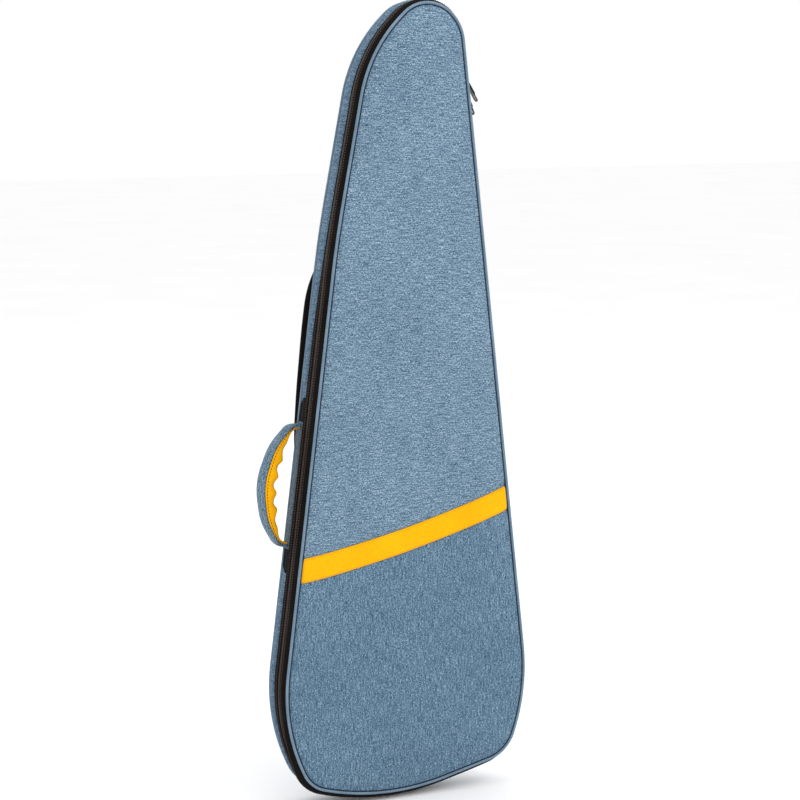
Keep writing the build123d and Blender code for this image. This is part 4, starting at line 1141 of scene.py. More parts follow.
tape_stitches("zipper_tape_front_dots", spread(T_PARK + 8, T_SHOWN, 4.0), front_spot, DOTS, "lid")
tape_stitches("zipper_tape_rear_dots", spread(T_PARK + 8, T_SHOWN, 4.0), rear_spot, DOTS, "body")

for node, mat in (("zipper_end_stops", ENAMEL), ("upper_slider", ENAMEL), ("lower_slider", ENAMEL),
                  ("upper_pull_tab", ENAMEL), ("lower_pull_tab", ENAMEL), ("right_ladder_lock", PLASTIC),
                  ("left_ladder_lock", PLASTIC)):
    obj = frame["nodes"][node]
    obj.data.materials.clear()
    obj.data.materials.append(mat)
    b = obj.modifiers.new("edges", "BEVEL")
    b.width = 0.00035 if mat is ENAMEL else 0.0008
    b.segments = 2
    b.limit_method = "ANGLE"
    b.angle_limit = math.radians(35)
    b.harden_normals = False

# moulded sleeves on the pulls
PULL_BODY = {"upper_pull_tab": "upper_pull_tab", "lower_pull_tab": "lower_pull_tab"}
for node in ("upper_pull_tab", "lower_pull_tab"):
    obj = frame["nodes"][node]
    pts = np.array([list(obj.matrix_world @ v.co) for v in obj.data.vertices]) * 1000.0 - row([0, 0, 0])[None, :] * 1000.0
    lead = pts[pts[:, 2].argmin()] - pts[pts[:, 2].argmax()]
    lead /= np.linalg.norm(lead)
    along = pts @ lead
    flat = pts[along > along.min() + 9.0]
    mid_p = flat.mean(0)
    cov = np.linalg.svd(flat - mid_p)[2]
    u = cov[0] if cov[0] @ lead > 0 else -cov[0]
    n = cov[2]
    n = n if n[0] > 0 else -n
    w = np.cross(n, u)
    lo, hi = (pts @ u).min() + 10.0, (pts @ u).max() - 10.6
    base = mid_p - u * (mid_p @ u)
    base[1] = (pts[:, 1].min() + pts[:, 1].max()) / 2
    rings = []
    for f in np.concatenate([[0.0, 0.012, 0.04], np.linspace(0.1, 0.9, 12), [0.96, 0.988, 1.0]]):
        k = 0.62 + 0.38 * math.sqrt(max(0.0, 1 - (abs(2 * f - 1)) ** 10))
        grip = 1 - 0.10 * (0.5 - 0.5 * math.cos(2 * math.pi * 4 * min(1.0, max(0.0, (f - 0.1) / 0.8))))
        a = np.linspace(0, 2 * math.pi, 22, endpoint=False)
        ca, sa = np.cos(a), np.sin(a)
        ww = np.sign(ca) * np.abs(ca) ** 0.55 * (3.9 + 0.9 * f) * k
        hh = np.sign(sa) * np.abs(sa) ** 0.7 * 1.6 * grip * k + 0.75
        rings.append(base + u * (lo + (hi - lo) * f) + w[None, :] * ww[:, None] + n[None, :] * hh[:, None])
    v, f2, uv = loft(rings)
    place(make(node + "_sleeve", v, f2, uv, PLASTIC), PULL_BODY[node], "slider_metal")

# ------------------------------------------------------------------ carry handle
LEFT_A, LEFT_B = CORNERS[7], CORNERS[6]
LEFT_U = unit(LEFT_A, LEFT_B)
LEFT_N = (-LEFT_U[1], LEFT_U[0])
HANDLE_Z, HANDLE_Y, HANDLE_HALF, HANDLE_REACH = 413.5, 17.0, 81.0, 51.0
HANDLE_X = LEFT_A[0] + (HANDLE_Z - LEFT_A[1]) * LEFT_U[0] / LEFT_U[1]


def hp(s, d, y):
    """Handle point: s up the bag's side, d outwards from it, y as the bag's."""
    s, d, y = np.broadcast_arrays(np.asarray(s, float), np.asarray(d, float), np.asarray(y, float))
    return np.stack([HANDLE_X + LEFT_U[0] * s + LEFT_N[0] * d, y, HANDLE_Z + LEFT_U[1] * s + LEFT_N[1] * d], -1)


def crescent(half, reach, foot):
    right = [(half, foot), (half * 0.975, reach * 0.34), (half * 0.62, reach * 0.77)]
    return right + [(0.0, reach * 1.02)] + [(-x, d) for x, d in reversed(right)]


def norm_line(points, n, share=0.45):
    """n points evenly along a rounded open line."""
    t, p, _ = line_table(rounded(points, auto_radii(points, share), False), 0.5, False)
    s = np.linspace(0, t[-1], n)
    return np.stack([np.interp(s, t, p[:, 0]), np.interp(s, t, p[:, 1])], 1)


HN = 92
C_OUT = norm_line(crescent(HANDLE_HALF, HANDLE_REACH, 0.6), HN)
C_MID = norm_line(crescent(HANDLE_HALF - 4.6, HANDLE_REACH - 7.6, 0.6), HN)
C_IN = norm_line(crescent(HANDLE_HALF - 18.0, HANDLE_REACH - 26.4, 0.6), HN)
for k in range(HN):
    f = min(1.0, min(k, HN - 1 - k) / (0.26 * HN))
    C_IN[k] = C_MID[k] + (C_IN[k] - C_MID[k]) * (0.16 + 0.84 * f * f * (3 - 2 * f))


def handle_width(d):
    f = np.clip((d - 1.5) / 18.0, 0, 1)
    return 3.4 + 4.7 * (f * f * (3 - 2 * f))


def handle_piece(name, near, far, section, mat):
    rings = []
    for k in range(HN):
        e = far[k] - near[k]
        w = handle_width(0.5 * (near[k][1] + far[k][1]))
        sec = np.array(section(k / (HN - 1), k), float)
        pos = near[k][None, :] + e[None, :] * sec[:, :1]
        rings.append(hp(pos[:, 0], np.maximum(pos[:, 1], 0.2), HANDLE_Y + w * sec[:, 1]))
    v, f, uv = loft(rings)
    return make(name, v, f, uv, mat)


def cover_section(a, k):
    p = 0.05 * fuzz(a * 22, 3.0)
    return [(0.02, 0), (0.02, -0.70), (0.0, -0.98), (0.18, -1.03), (0.5, -1.04 - p), (0.78, -0.97), (0.95, -0.72), (1.03, -0.38),
            (1.06 + p, 0), (1.03, 0.38), (0.95, 0.72), (0.78, 0.97), (0.5, 1.04 + p), (0.18, 1.03), (0.0, 0.98), (0.02, 0.70)]


def grip_section(a, k):
    wave = (0.5 - 0.5 * math.cos(2 * math.pi * 5.0 * min(1.0, max(0.0, (a - 0.13) / 0.74)))) ** 0.8
    edge = min(1.0, a / 0.12, (1 - a) / 0.12)
    q = -0.02 + 0.27 * wave * edge
    return [(1.04, 0), (1.04, -0.80), (0.98, -0.95), (0.80, -0.99), (0.55, -0.97), (q + 0.22, -0.84), (q + 0.06, -0.55), (q, -0.2),
            (q - 0.01, 0), (q, 0.2), (q + 0.06, 0.55), (q + 0.22, 0.84), (0.55, 0.97), (0.80, 0.99), (0.98, 0.95), (1.04, 0.80)]


def handle_blend(obj):
    a, b = hp(0, 0.2, HANDLE_Y), hp(0, 13.0, HANDLE_Y)
    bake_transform(obj)
    return obj


cover = handle_piece("handle_cover_cloth", C_MID, C_OUT, cover_section, BLUE_SIDE_LIGHT)
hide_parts("handle_cover")
handle_blend(cover)
grip = handle_piece("handle_grip_cloth", C_IN, C_MID, grip_section, YELLOW)
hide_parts("handle_grip")
handle_blend(grip)

for tag, s in (("front", -1), ("back", 1)):
    for line, frac, mat in (("seam", 0.10, THREAD_DARK), ("grip", 0.84, THREAD_DARK)):
        pts = []
        for k in range(5, HN - 5):
            if line == "seam":
                w = handle_width(0.5 * (C_MID[k][1] + C_OUT[k][1])) * 1.02
                p = C_MID[k] + (C_OUT[k] - C_MID[k]) * frac
            else:
                w = handle_width(0.5 * (C_MID[k][1] + C_IN[k][1])) * 0.99
                p = C_IN[k] + (C_MID[k] - C_IN[k]) * frac
            pts.append(hp(p[0], p[1], HANDLE_Y + s * w))
        st = stitches("handle_stitches_" + line + "_" + tag, pts, [(0, s, 0)] * len(pts), mat, 4.2, 3.0, 0.42)
        handle_blend(st)


def side_strip(name, half, y0, y1, d0, d1, cut0, cut1, mat, soft=0.5):
    """A flat strip sewn along the bag's side, with cut corners."""
    ss = np.concatenate([np.linspace(-half, -half + 16, 9), np.linspace(-half + 22, half - 22, 24), np.linspace(half - 16, half, 9)])
    rings = []
    for s in ss:
        e = half - abs(s)
        a0 = y0 + max(0.0, cut0 * (1 - e / 10.0)) if cut0 else y0
        a1 = y1 - max(0.0, cut1 * (1 - e / 10.0)) if cut1 else y1
        top = d1 - (soft if e < 0.5 else 0)
        w = 0.12 * fuzz(s / 14.0, y0)
        rings.append(hp([s] * 10, [d0, d0 + (d1 - d0) * 0.5, top - 0.15, top + w, top + w, top + w, top - 0.15, d0 + (d1 - d0) * 0.5, d0, d0],
                        [a0 + 0.3, a0, a0 + 0.5, a0 + 2.2, (a0 + a1) / 2, a1 - 2.2, a1 - 0.5, a1, a1 - 0.3, (a0 + a1) / 2]))
    v, f, uv = loft(rings)
    return make(name, v, f, uv, mat)


patch = side_strip("handle_patch_cloth", 114.5, 10.0, 26.9, -2.6, -0.9, 0.0, 8.0, TAPE)
place(patch, "body", "zipper_tape", "handle_patch")
base = side_strip("handle_base_cloth", 83.0, 8.4, 25.6, -1.4, 0.35, 3.0, 3.0, BLUE_BASE_SHADED)
place(base, "body", "blue_fabric", "handle_base")
for tag, y in (("low", 10.0), ("high", 24.0)):
    s = np.linspace(-79, 79, 80)
    p = hp(s, 0.35, y)
    place(stitches("handle_base_stitches_" + tag, p, [(LEFT_N[0], 0, LEFT_N[1])] * len(s), THREAD_DARK, 3.4, 2.5, 0.3), "body", "blue_fabric")
for tag, s0 in (("top", 1), ("bottom", -1)):
    for q, off in enumerate((0.0, 5.0)):
        y = np.linspace(11.5, 22.5, 12)
        p = hp(s0 * (79.5 - off), 0.35, y)
        place(stitches("handle_bar_tack_%s_%d" % (tag, q), p, [(LEFT_N[0], 0, LEFT_N[1])] * 12, THREAD_DARK, 2.0, 1.8, 0.32), "body", "blue_fabric")

# ------------------------------------------------------------------ webbing band and grab loop on the back
BAND_LOW, BAND_HIGH = 667.0, 706.0


def back_edge(z, side, inset):
    """x of the outline at a height, moved in by inset."""
    sel = OUT_P[:-1]
    nx, nz = OUT_D[:-1, 1], -OUT_D[:-1, 0]
    p = np.stack([sel[:, 0] - nx * inset, sel[:, 1] - nz * inset], 1)
    keep = (nx * side > 0.6) & (p[:, 1] > 100) & (p[:, 1] < 980)
    q = p[keep]
    q = q[np.argsort(q[:, 1])]
    return float(np.interp(z, q[:, 1], q[:, 0]))


def back_strip(name, z0, z1, mat, lift, thick, inset=4.9):
    zs = [z0, z0 + 0.7, z0 + 2.0] + list(np.linspace(z0 + 6, z1 - 6, 5)) + [z1 - 2.0, z1 - 0.7, z1]
    rings = []
    n = 46
    for k in range(n):
        outer, inner = [], []
        for q, z in enumerate(zs):
            a, b = back_edge(z, -1, inset), back_edge(z, 1, inset)
            x = a + (b - a) * k / (n - 1)
            y = panel_out(x, z, 1)
            soft = 0.55 if q in (0, len(zs) - 1) else (0.12 if q in (1, len(zs) - 2) else 0.0)
            outer.append((x, y + lift - soft, z))
            inner.append((x, y + lift - thick, z))
        rings.append(outer + inner[::-1])
    v, f, uv = loft(rings)
    return make(name, v, f, uv, mat)


web_band = back_strip("web_band", BAND_LOW, BAND_HIGH, WEBBING, 1.35, 1.6)
place(web_band, "body", "black_webbing", "back_web_band")
for tag, z in (("low", BAND_LOW + 3.0), ("high", BAND_HIGH - 3.0)):
    xs = np.linspace(back_edge(z, -1, 6.5), back_edge(z, 1, 6.5), 60)
    p = [(x, panel_out(x, z, 1) + 1.38, z) for x in xs]
    place(stitches("web_band_stitches_" + tag, p, [(0, 1, 0)] * 60, THREAD_DARK, 3.4, 2.5, 0.32), "body", "black_webbing")

LOOP_OUT = [(51.5, 700), (50.5, 714), (45.0, 741), (10, 773), (-10, 773), (-45.0, 741), (-50.5, 714), (-51.5, 700)]
LOOP_IN = [(22, 700), (20.3, 713), (14.5, 731), (8.5, 743.0), (-8.5, 743.0), (-14.5, 731), (-20.3, 713), (-22, 700)]
LN = 56
lo_line, li_line = norm_line(LOOP_OUT, LN, 0.2), norm_line(LOOP_IN, LN, 0.3)
rings = []
for k in range(LN):
    a = k / (LN - 1)
    top = math.sin(math.pi * a) ** 3
    twist = math.sin(2 * math.pi * a) * 0.0
    sec = []
    for face in (1, -1):
        cols = np.linspace(0, 1, 7) if face == 1 else np.linspace(1, 0, 7)
        for c in cols:
            p = li_line[k] + (lo_line[k] - li_line[k]) * c
            cup = -3.2 * top * (1 - (2 * c - 1) ** 2)
            lean = top * 15.0 * c
            edge = 0.45 if c in (0.0, 1.0) else 1.0
            y = 35.5 + lean + cup + face * 1.05 * edge + 0.35 * fuzz(a * 9, c * 2) * top
            if p[1] < 712:
                y = min(y, 35.9 + face * 0.6)
            sec.append((STRAPS_X + p[0], y, p[1]))
    rings.append(sec)
v, f, uv = loft(rings)
loop = make("grab_loop_webbing", v, f, uv, WEBBING)
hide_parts("grab_loop")
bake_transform(loop)

# ------------------------------------------------------------------ shoulder straps
STRAP_PATH = [(34.0, 700.0), (84.0, 690.0), (110.0, 652.0), (113.0, 600.0), (111.0, 540.0),
              (105.0, 480.0), (98.0, 425.0), (94.0, 402.0)]
PATH_T, PATH_P, PATH_D = line_table(rounded(STRAP_PATH, auto_radii(STRAP_PATH), False), 1.0, False)
PAD_END = PATH_T[-1] + 2.0
BUCKLE_X, WEB, WEB_T = 60.0, 32.0, 1.5
END = STRAP_PATH[-1]
END_D = unit(STRAP_PATH[-2], STRAP_PATH[-1])
END_N = (-END_D[1], END_D[0])
BAR_ALONG, BAR_OFF = 14.0, 3.0


def end_point(along, off):
    return (END[0] + END_D[0] * along + END_N[0] * off, END[1] + END_D[1] * along + END_N[1] * off)


def on_strap(m, t, x, h):
    """Strap point: t down it, x from the straps' middle, h outwards from its mid-surface."""
    t, x, h = np.broadcast_arrays(np.asarray(t, float), np.asarray(x, float), np.asarray(h, float))
    y, z = np.interp(t, PATH_T, PATH_P[:, 0]), np.interp(t, PATH_T, PATH_P[:, 1])
    dy, dz = np.interp(t, PATH_T, PATH_D[:, 0]), np.interp(t, PATH_T, PATH_D[:, 1])
    k = np.hypot(dy, dz)
    dy, dz = dy / k, dz / k
    over = np.where(t > PATH_T[-1], t - PATH_T[-1], np.where(t < 0, t, 0.0))
    return np.stack([STRAPS_X + m * x, y + dy * over - dz * h, z + dz * over + dy * h], -1)


def strap_edges(t):
    z = np.interp(t, PATH_T, PATH_P[:, 1])
    inner = np.interp(z, [390, 420, 440, 470, 520, 560, 640, 716], [23.5, 22.2, 21.0, 19.8, 18.4, 16.6, 12.8, 9.0])
    outer = np.interp(z, [390, 420, 440, 470, 520, 560, 640, 716], [95.0, 97.0, 97.6, 96.2, 90.6, 85.6, 77.0, 69.0])
    return inner, outer


def pad_outline(step=4.0, r=26.0):
    ts = np.linspace(-2.0, PAD_END - r, int((PAD_END - r) / step))
    inner, outer = strap_edges(ts)
    k = np.ones(9) / 9
    inner = np.convolve(np.pad(inner, 4, mode="edge"), k, "valid")
    outer = np.convolve(np.pad(outer, 4, mode="edge"), k, "valid")
    left = [(t, x) for t, x in zip(ts, inner)]
    right = [(t, x) for t, x in zip(ts, outer)]
    a0, b0 = inner[-1], outer[-1]
    arc1 = [(PAD_END - r + r * math.sin(w), a0 + r - r * math.cos(w)) for w in np.linspace(0.15, math.pi / 2, 9)]
    arc2 = [(PAD_END - r + r * math.sin(w), b0 - r + r * math.cos(w)) for w in np.linspace(math.pi / 2, 0.15, 9)]
    return np.array(left + arc1 + arc2 + right[::-1])


PAD_LINE = pad_outline()


def line_dist(p, line):
    """Distance to a polyline."""
    a, b = line[:-1], line[1:]
    ab = b - a
    f = np.clip(((p - a) * ab).sum(1) / (ab * ab).sum(1), 0, 1)
    q = a + ab * f[:, None]
    d = np.hypot(*(p - q).T)
    k = int(np.argmin(d))
    return float(d[k])


def inset_open(line, amount):
    d = np.gradient(line, axis=0)
    d /= np.linalg.norm(d, axis=1)[:, None]
    n = np.stack([-d[:, 1], d[:, 0]], 1)
    c = line.mean(0)
    if ((c - line[0]) * n[0]).sum() < 0:
        n = -n
    return line + n * amount


def pad_mesh(m, tag, body_low, body_high, mat, inset=2.6):
    line = inset_open(PAD_LINE, inset)
    ring = [inset_open(PAD_LINE, d) for d in (4.2, 6.5, 9.5, 13.5)]
    line[0, 0], line[-1, 0] = -2.0, -2.0
    boundary = densify([tuple(p) for p in line], 6.0)
    inner = [tuple(p) for q in ring for p in q[1:-1]]
    for i, t in enumerate(np.arange(1.0, PAD_END - 16, 5.2)):
        a, b = strap_edges(t)
        for x in np.arange(a + 17.5 + (i % 2) * 2.6, b - 17.0, 5.2):
            inner.append((t, x))
    pts, faces = fill(boundary, inner)
    dist = np.array([line_dist(p, PAD_LINE) for p in pts])
    hi = np.array([body_high(p[0], p[1], d) for p, d in zip(pts, dist)])
    lo = np.array([body_low(p[0], p[1], d) for p, d in zip(pts, dist)])
    top, bot = on_strap(m, pts[:, 0], pts[:, 1], hi), on_strap(m, pts[:, 0], pts[:, 1], lo)
    n = len(pts)
    fs = [list(f) for f in faces] + [[q + n for q in f[::-1]] for f in faces]
    count = {}
    for f in faces:
        for a, b in zip(f, f[1:] + f[:1]):
            key = (min(a, b), max(a, b))
            count[key] = None if key in count else (a, b)
    for ab in count.values():
        if ab:
            fs.append([ab[1], ab[0], ab[0] + n, ab[1] + n])
    uvp = np.vstack([pts, pts]) / 1000.0
    uv = [(uvp[q][1], uvp[q][0]) for f in fs for q in f]
    return make(tag, np.vstack([top, bot]), fs, uv, mat)


def crease(t, x):
    """Creases across the pad where it bends over the shoulder end, and a few along it."""
    bend = math.exp(-(((t - 62) / 34.0) ** 2))
    return bend * 0.55 * fuzz(t / 5.0, x / 42.0, 2.0) + 0.40 * fuzz(t / 30.0, x / 22.0, 6.0)


def ribbon(name, pts, wide, width, thick, mat, crown=0.0, ends=True, cols=7):
    """Webbing along points, with its width's way at each point. u runs along it and v across it."""
    p, w = np.asarray(pts, float), np.asarray(wide, float)
    d = np.gradient(p, axis=0)
    d /= np.linalg.norm(d, axis=1)[:, None]
    w = w - (w * d).sum(1)[:, None] * d
    w /= np.linalg.norm(w, axis=1)[:, None]
    n = np.cross(d, w)
    s = np.linspace(-0.5, 0.5, cols)
    sec = [(c * width, thick / 2 * (1.0 if 0 < k < cols - 1 else 0.45)) for k, c in enumerate(s)]
    sec += [(c * width, -thick / 2 * (1.0 if 0 < k < cols - 1 else 0.45)) for k, c in reversed(list(enumerate(s)))]
    rings = []
    for k in range(len(p)):
        t = thick[k] if hasattr(thick, "__len__") else None
        rings.append([p[k] + w[k] * a + n[k] * (b + crown * (0.25 - (a / width) ** 2)) for a, b in sec])
    v, f, uv = loft(rings)
    return make(name, v, f, uv, mat)


def smooth3(points, step):
    """A smooth line through points, by Catmull-Rom."""
    p = np.asarray(points, float)
    p = np.vstack([2 * p[0] - p[1], p, 2 * p[-1] - p[-2]])
    out = []
    for i in range(1, len(p) - 2):
        a, b, c, d = p[i - 1], p[i], p[i + 1], p[i + 2]
        k = max(2, int(np.linalg.norm(c - b) / step))
        for q in range(k):
            t = q / k
            out.append(0.5 * ((2 * b) + (-a + c) * t + (2 * a - 5 * b + 4 * c - d) * t**2 + (-a + 3 * b - 3 * c + d) * t**3))
    out.append(p[-2])
    return np.array(out)


def back_patch(name, poly, mat, low, high):
    """A cloth patch on the back panel, inside the piping."""
    edge = [tuple(p) for p in poly]
    line = inset_line(5.0, 3.0)
    n = len(edge)
    area = sum(edge[i][0] * edge[(i + 1) % n][1] - edge[(i + 1) % n][0] * edge[i][1] for i in range(n))
    if area < 0:
        edge = edge[::-1]
    poly_in = [tuple(p) for p in line]
    for i in range(n):
        a, b = edge[i], edge[(i + 1) % n]
        poly_in = clip(poly_in, lambda x, z, a=a, b=b: (b[0] - a[0]) * (z - a[1]) - (b[1] - a[1]) * (x - a[0]))
    poly_in = densify(poly_in, 4.0)
    xs, zs = [p[0] for p in poly_in], [p[1] for p in poly_in]
    arr = np.array(poly_in + [poly_in[0]])
    inner = []
    for i, z in enumerate(np.arange(min(zs) + 2, max(zs) - 1, 3.6)):
        for x in np.arange(min(xs) + 2 + (i % 2) * 1.8, max(xs) - 1, 3.8):
            if all((b[0] - a[0]) * (z - a[1]) - (b[1] - a[1]) * (x - a[0]) > 1.5 * math.dist(a, b)
                   for a, b in zip(edge, edge[1:] + edge[:1])) and edge_of(x, z)[0] > 6.6 and inside(x, z):
                inner.append((x, z))
    pts, faces = fill(poly_in, inner)
    dist = np.array([line_dist(p, arr) for p in pts])
    hi = np.array([high(p[0], p[1], d) for p, d in zip(pts, dist)])
    lo = np.array([low(p[0], p[1], d) for p, d in zip(pts, dist)])
    return closed_patch(name, pts, faces, lo, hi, mat, side=1)


def mirror_x(m, x):
    return STRAPS_X + m * x


ANCHOR = (134.0, 40.0, 125.0)
WEB_TOP = end_point(BAR_ALONG + 50, BAR_OFF - 3.0)
W0, W1 = np.array([BUCKLE_X, WEB_TOP[0], WEB_TOP[1]]), np.array(ANCHOR)
WD = (W1 - W0) / np.linalg.norm(W1 - W0)
WN = np.array([0, 1.0, 0]) - WD[1] * WD
WN /= np.linalg.norm(WN)
WS = np.cross(WN, WD)
if WS[0] < 0:
    WS = -WS
TAIL = end_point(BAR_ALONG + 30, BAR_OFF + 3.1)
ANCHORS = {1: [(122, 96), (148, 40), (215, 20), (215, 138), (166, 134)], -1: [(-122, 92), (-148, 38), (-215, 20), (-215, 138), (-166, 136)]}

for side_name, m, tail_len in (("right", 1, 215.0), ("left", -1, 160.0)):
    strap, buckle, tail = side_name + "_strap", side_name + "_buckle", side_name + "_tail"

    top = pad_mesh(m, side_name + "_pad_cloth", lambda t, x, d: 0.25,
                   lambda t, x, d: 2.9 + 2.3 * (1 - math.exp(-max(0.0, d - 5.5) / 8.0)) + crease(t, x) * min(1, d / 9.0), BLUE_PAD)
    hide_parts(side_name + "_pad_fabric", side_name + "_pad_foam", side_name + "_strap_root")
    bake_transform(top)
    low = pad_mesh(m, side_name + "_pad_mesh_cloth",
                   lambda t, x, d: -2.8 - 1.4 * (1 - math.exp(-max(0.0, d - 5.5) / 8.0)) + 0.5 * crease(t + 90, x), lambda t, x, d: 0.1, MESH)
    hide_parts(side_name + "_pad_backing")
    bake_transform(low)

    # binding: folded tape round the pad's edge
    d = np.gradient(PAD_LINE, axis=0)
    d /= np.linalg.norm(d, axis=1)[:, None]
    nn = np.stack([-d[:, 1], d[:, 0]], 1)
    c = PAD_LINE.mean(0)
    if ((c - PAD_LINE[0]) * nn[0]).sum() < 0:
        nn = -nn
    rings = []
    for k in range(len(PAD_LINE)):
        w = 0.16 * fuzz(k / 2.3, m * 4.0)
        sec = [(8.6, 4.55), (7.0, 4.75 + w), (3.6, 4.3 + w), (1.0, 3.1), (-0.35, 1.2), (-0.5, 0), (-0.35, -1.2), (1.0, -2.9), (3.6, -3.8),
               (7.0, -4.2), (8.6, -4.0), (8.4, -2.9), (4.0, -2.5), (1.2, 0), (4.0, 2.8), (8.4, 3.5)]
        ring = [on_strap(m, PAD_LINE[k][0] + nn[k][0] * a, PAD_LINE[k][1] + nn[k][1] * a, h) for a, h in sec]
        rings.append(ring)
    v, f, uv = loft(rings)
    bind = make(side_name + "_binding_tape", v, f, uv, BINDING)
    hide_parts(side_name + "_pad_binding")
    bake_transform(bind)
    pts = [on_strap(m, PAD_LINE[k][0] + nn[k][0] * 7.2, PAD_LINE[k][1] + nn[k][1] * 7.2, 4.85) for k in range(len(PAD_LINE))]
    up = [on_strap(m, p[0], p[1], 9.0) - on_strap(m, p[0], p[1], 4.0) for p in PAD_LINE]
    st = stitches(side_name + "_binding_stitches", pts, up, THREAD_DARK, 3.2, 2.3, 0.26)
    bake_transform(st)

    def local(a, h, x=BUCKLE_X):
        y, z = end_point(a, h)
        return (mirror_x(m, x), y, z)

    # tab that holds the ladder lock, with its box and cross of stitches
    ang = np.radians(np.linspace(90, -90, 9))
    line = [(-33, 5.75), (-28, 6.0), (-16, 6.1), (-6, 5.9), (3, 5.6), (9, 5.95)] + [(14 + 3.25 * math.cos(w), 3 + 3.25 * math.sin(w)) for w in ang] + [(9, -0.35), (4.5, 0.2)]
    path = smooth3([local(a, h) for a, h in line], 2.0)
    tab = ribbon(side_name + "_tab_webbing", path, [(1, 0, 0)] * len(path), 30.0, 1.5, WEBBING)
    place(tab, strap, "black_webbing", side_name + "_strap_tab")
    box = [(-30, -12.5), (-30, 12.5), (-5, 12.5), (-5, -12.5)]
    corners = [np.array(local(a, 6.85, BUCKLE_X + b)) for a, b in box]
    k = 0
    for a, b in ((0, 1), (1, 2), (2, 3), (3, 0), (0, 2), (1, 3)):
        pts = [corners[a] + (corners[b] - corners[a]) * f for f in np.linspace(0, 1, 12)]
        out = np.array(local(0, 10)) - np.array(local(0, 0))
        place(stitches(side_name + "_tab_stitches_%d" % k, pts, [out] * 12, THREAD_DARK, 2.9, 2.2, 0.34), strap, "black_webbing")
        k += 1

    # the lock's ribbed faces, over the webbing
    def lock_bar(tag, prof, half, mat=PLASTIC, bow=0.6):
        rings = []
        for e in np.concatenate([[-1.0, -0.985, -0.95], np.linspace(-0.88, 0.88, 11), [0.95, 0.985, 1.0]]):
            shrink = 1.0 if abs(e) < 0.9 else 0.55 + 0.45 * math.sqrt(max(0.0, 1 - ((abs(e) - 0.9) / 0.1) ** 2))
            ca, ch = np.mean(prof, 0)
            rings.append([local(ca + (a - ca) * shrink, ch + (h - ch) * shrink + bow * (1 - e * e), BUCKLE_X + e * half) for a, h in prof])
        v, f, uv = loft(rings)
        obj = make(side_name + tag, v, f, uv, mat)
        place(obj, buckle, "buckle_plastic")
        return obj
    lock_bar("_lock_top_bar", [(13.6, 7.7), (14.2, 8.9), (15.2, 9.4), (17.0, 9.4), (18.6, 8.8), (19.2, 7.7), (18.0, 7.4), (16.2, 7.5), (14.6, 7.4)], 21.5)
    teeth = [(26.5, 7.2), (27.0, 9.0)]
    for q in range(4):
        a0 = 28.0 + q * 3.4
        teeth += [(a0, 9.9), (a0 + 1.5, 10.2), (a0 + 2.2, 9.2), (a0 + 2.9, 9.2)]
    teeth += [(42.6, 9.0), (43.2, 8.0), (42.0, 7.4), (34.0, 7.4)]
    lock_bar("_lock_lip", teeth, 22.5)
    for q, e in enumerate((-1, 1)):
        rail = smooth3([local(4, 4.5, BUCKLE_X + e * 20.2), local(9, 7.2, BUCKLE_X + e * 21.0), local(18, 7.4, BUCKLE_X + e * 21.6), local(30, 7.4, BUCKLE_X + e * 22.0),
                        local(40, 7.2, BUCKLE_X + e * 21.8), local(47, 4.5, BUCKLE_X + e * 20.6)], 2.0)
        v, f, uv = loft(tube(rail, 2.1, 10))
        place(make(side_name + "_lock_rail_%d" % q, v, f, uv, PLASTIC), buckle, "buckle_plastic")

    # webbing round the lock's lower bar and down to the anchor
    ang = np.radians(np.linspace(90, 270, 11))
    bar = [(BAR_ALONG + 15 + 3.1 * math.cos(w), 3 + 3.1 * math.sin(w)) for w in ang]
    turn = [local(46, 6.2), local(38, 6.3)] + [local(a, h) for a, h in bar] + [local(38, -0.2), local(46, -0.5)]
    def on_web(dist, off=0.0):
        p = W0 + WD * dist + WN * off
        return (mirror_x(m, p[0]), p[1], p[2])
    WL = float(np.linalg.norm(W1 - W0))
    path = smooth3(turn + [local(56, -0.6, BUCKLE_X + 0.8), on_web(12, -0.3), on_web(34, -1.2), on_web(52, -2.0), on_web(62, -3.3)], 2.2)
    wide = []
    ws = np.array([WS[0] * m, WS[1], WS[2]]) * m
    for p in path:
        f = min(1.0, max(0.0, (end_point(40, 0)[1] - p[2]) / 60.0))
        wide.append(np.array([1.0, 0, 0]) * (1 - f) + ws * f)
    neck = ribbon(side_name + "_neck_webbing", path, wide, WEB, WEB_T, WEBBING)
    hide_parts(side_name + "_web_turn")
    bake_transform(neck)
    def tucked(dist):
        p = on_web(dist)
        return (p[0], panel_out(p[0], p[2], 1) + 1.2, p[2])
    pts = [on_web(46, -2.5), on_web(57, -2.15), on_web(90, -3.4), on_web(WL * 0.55, -4.2), on_web(WL * 0.8, -3.0), tucked(WL - 3), tucked(WL + 8), tucked(WL + 21)]
    path = smooth3(pts, 4.0)
    web = ribbon(side_name + "_lower_webbing", path, [ws] * len(path), WEB - 0.1, WEB_T, WEBBING)
    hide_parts(side_name + "_lower_web", side_name + "_web_end")
    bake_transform(web)

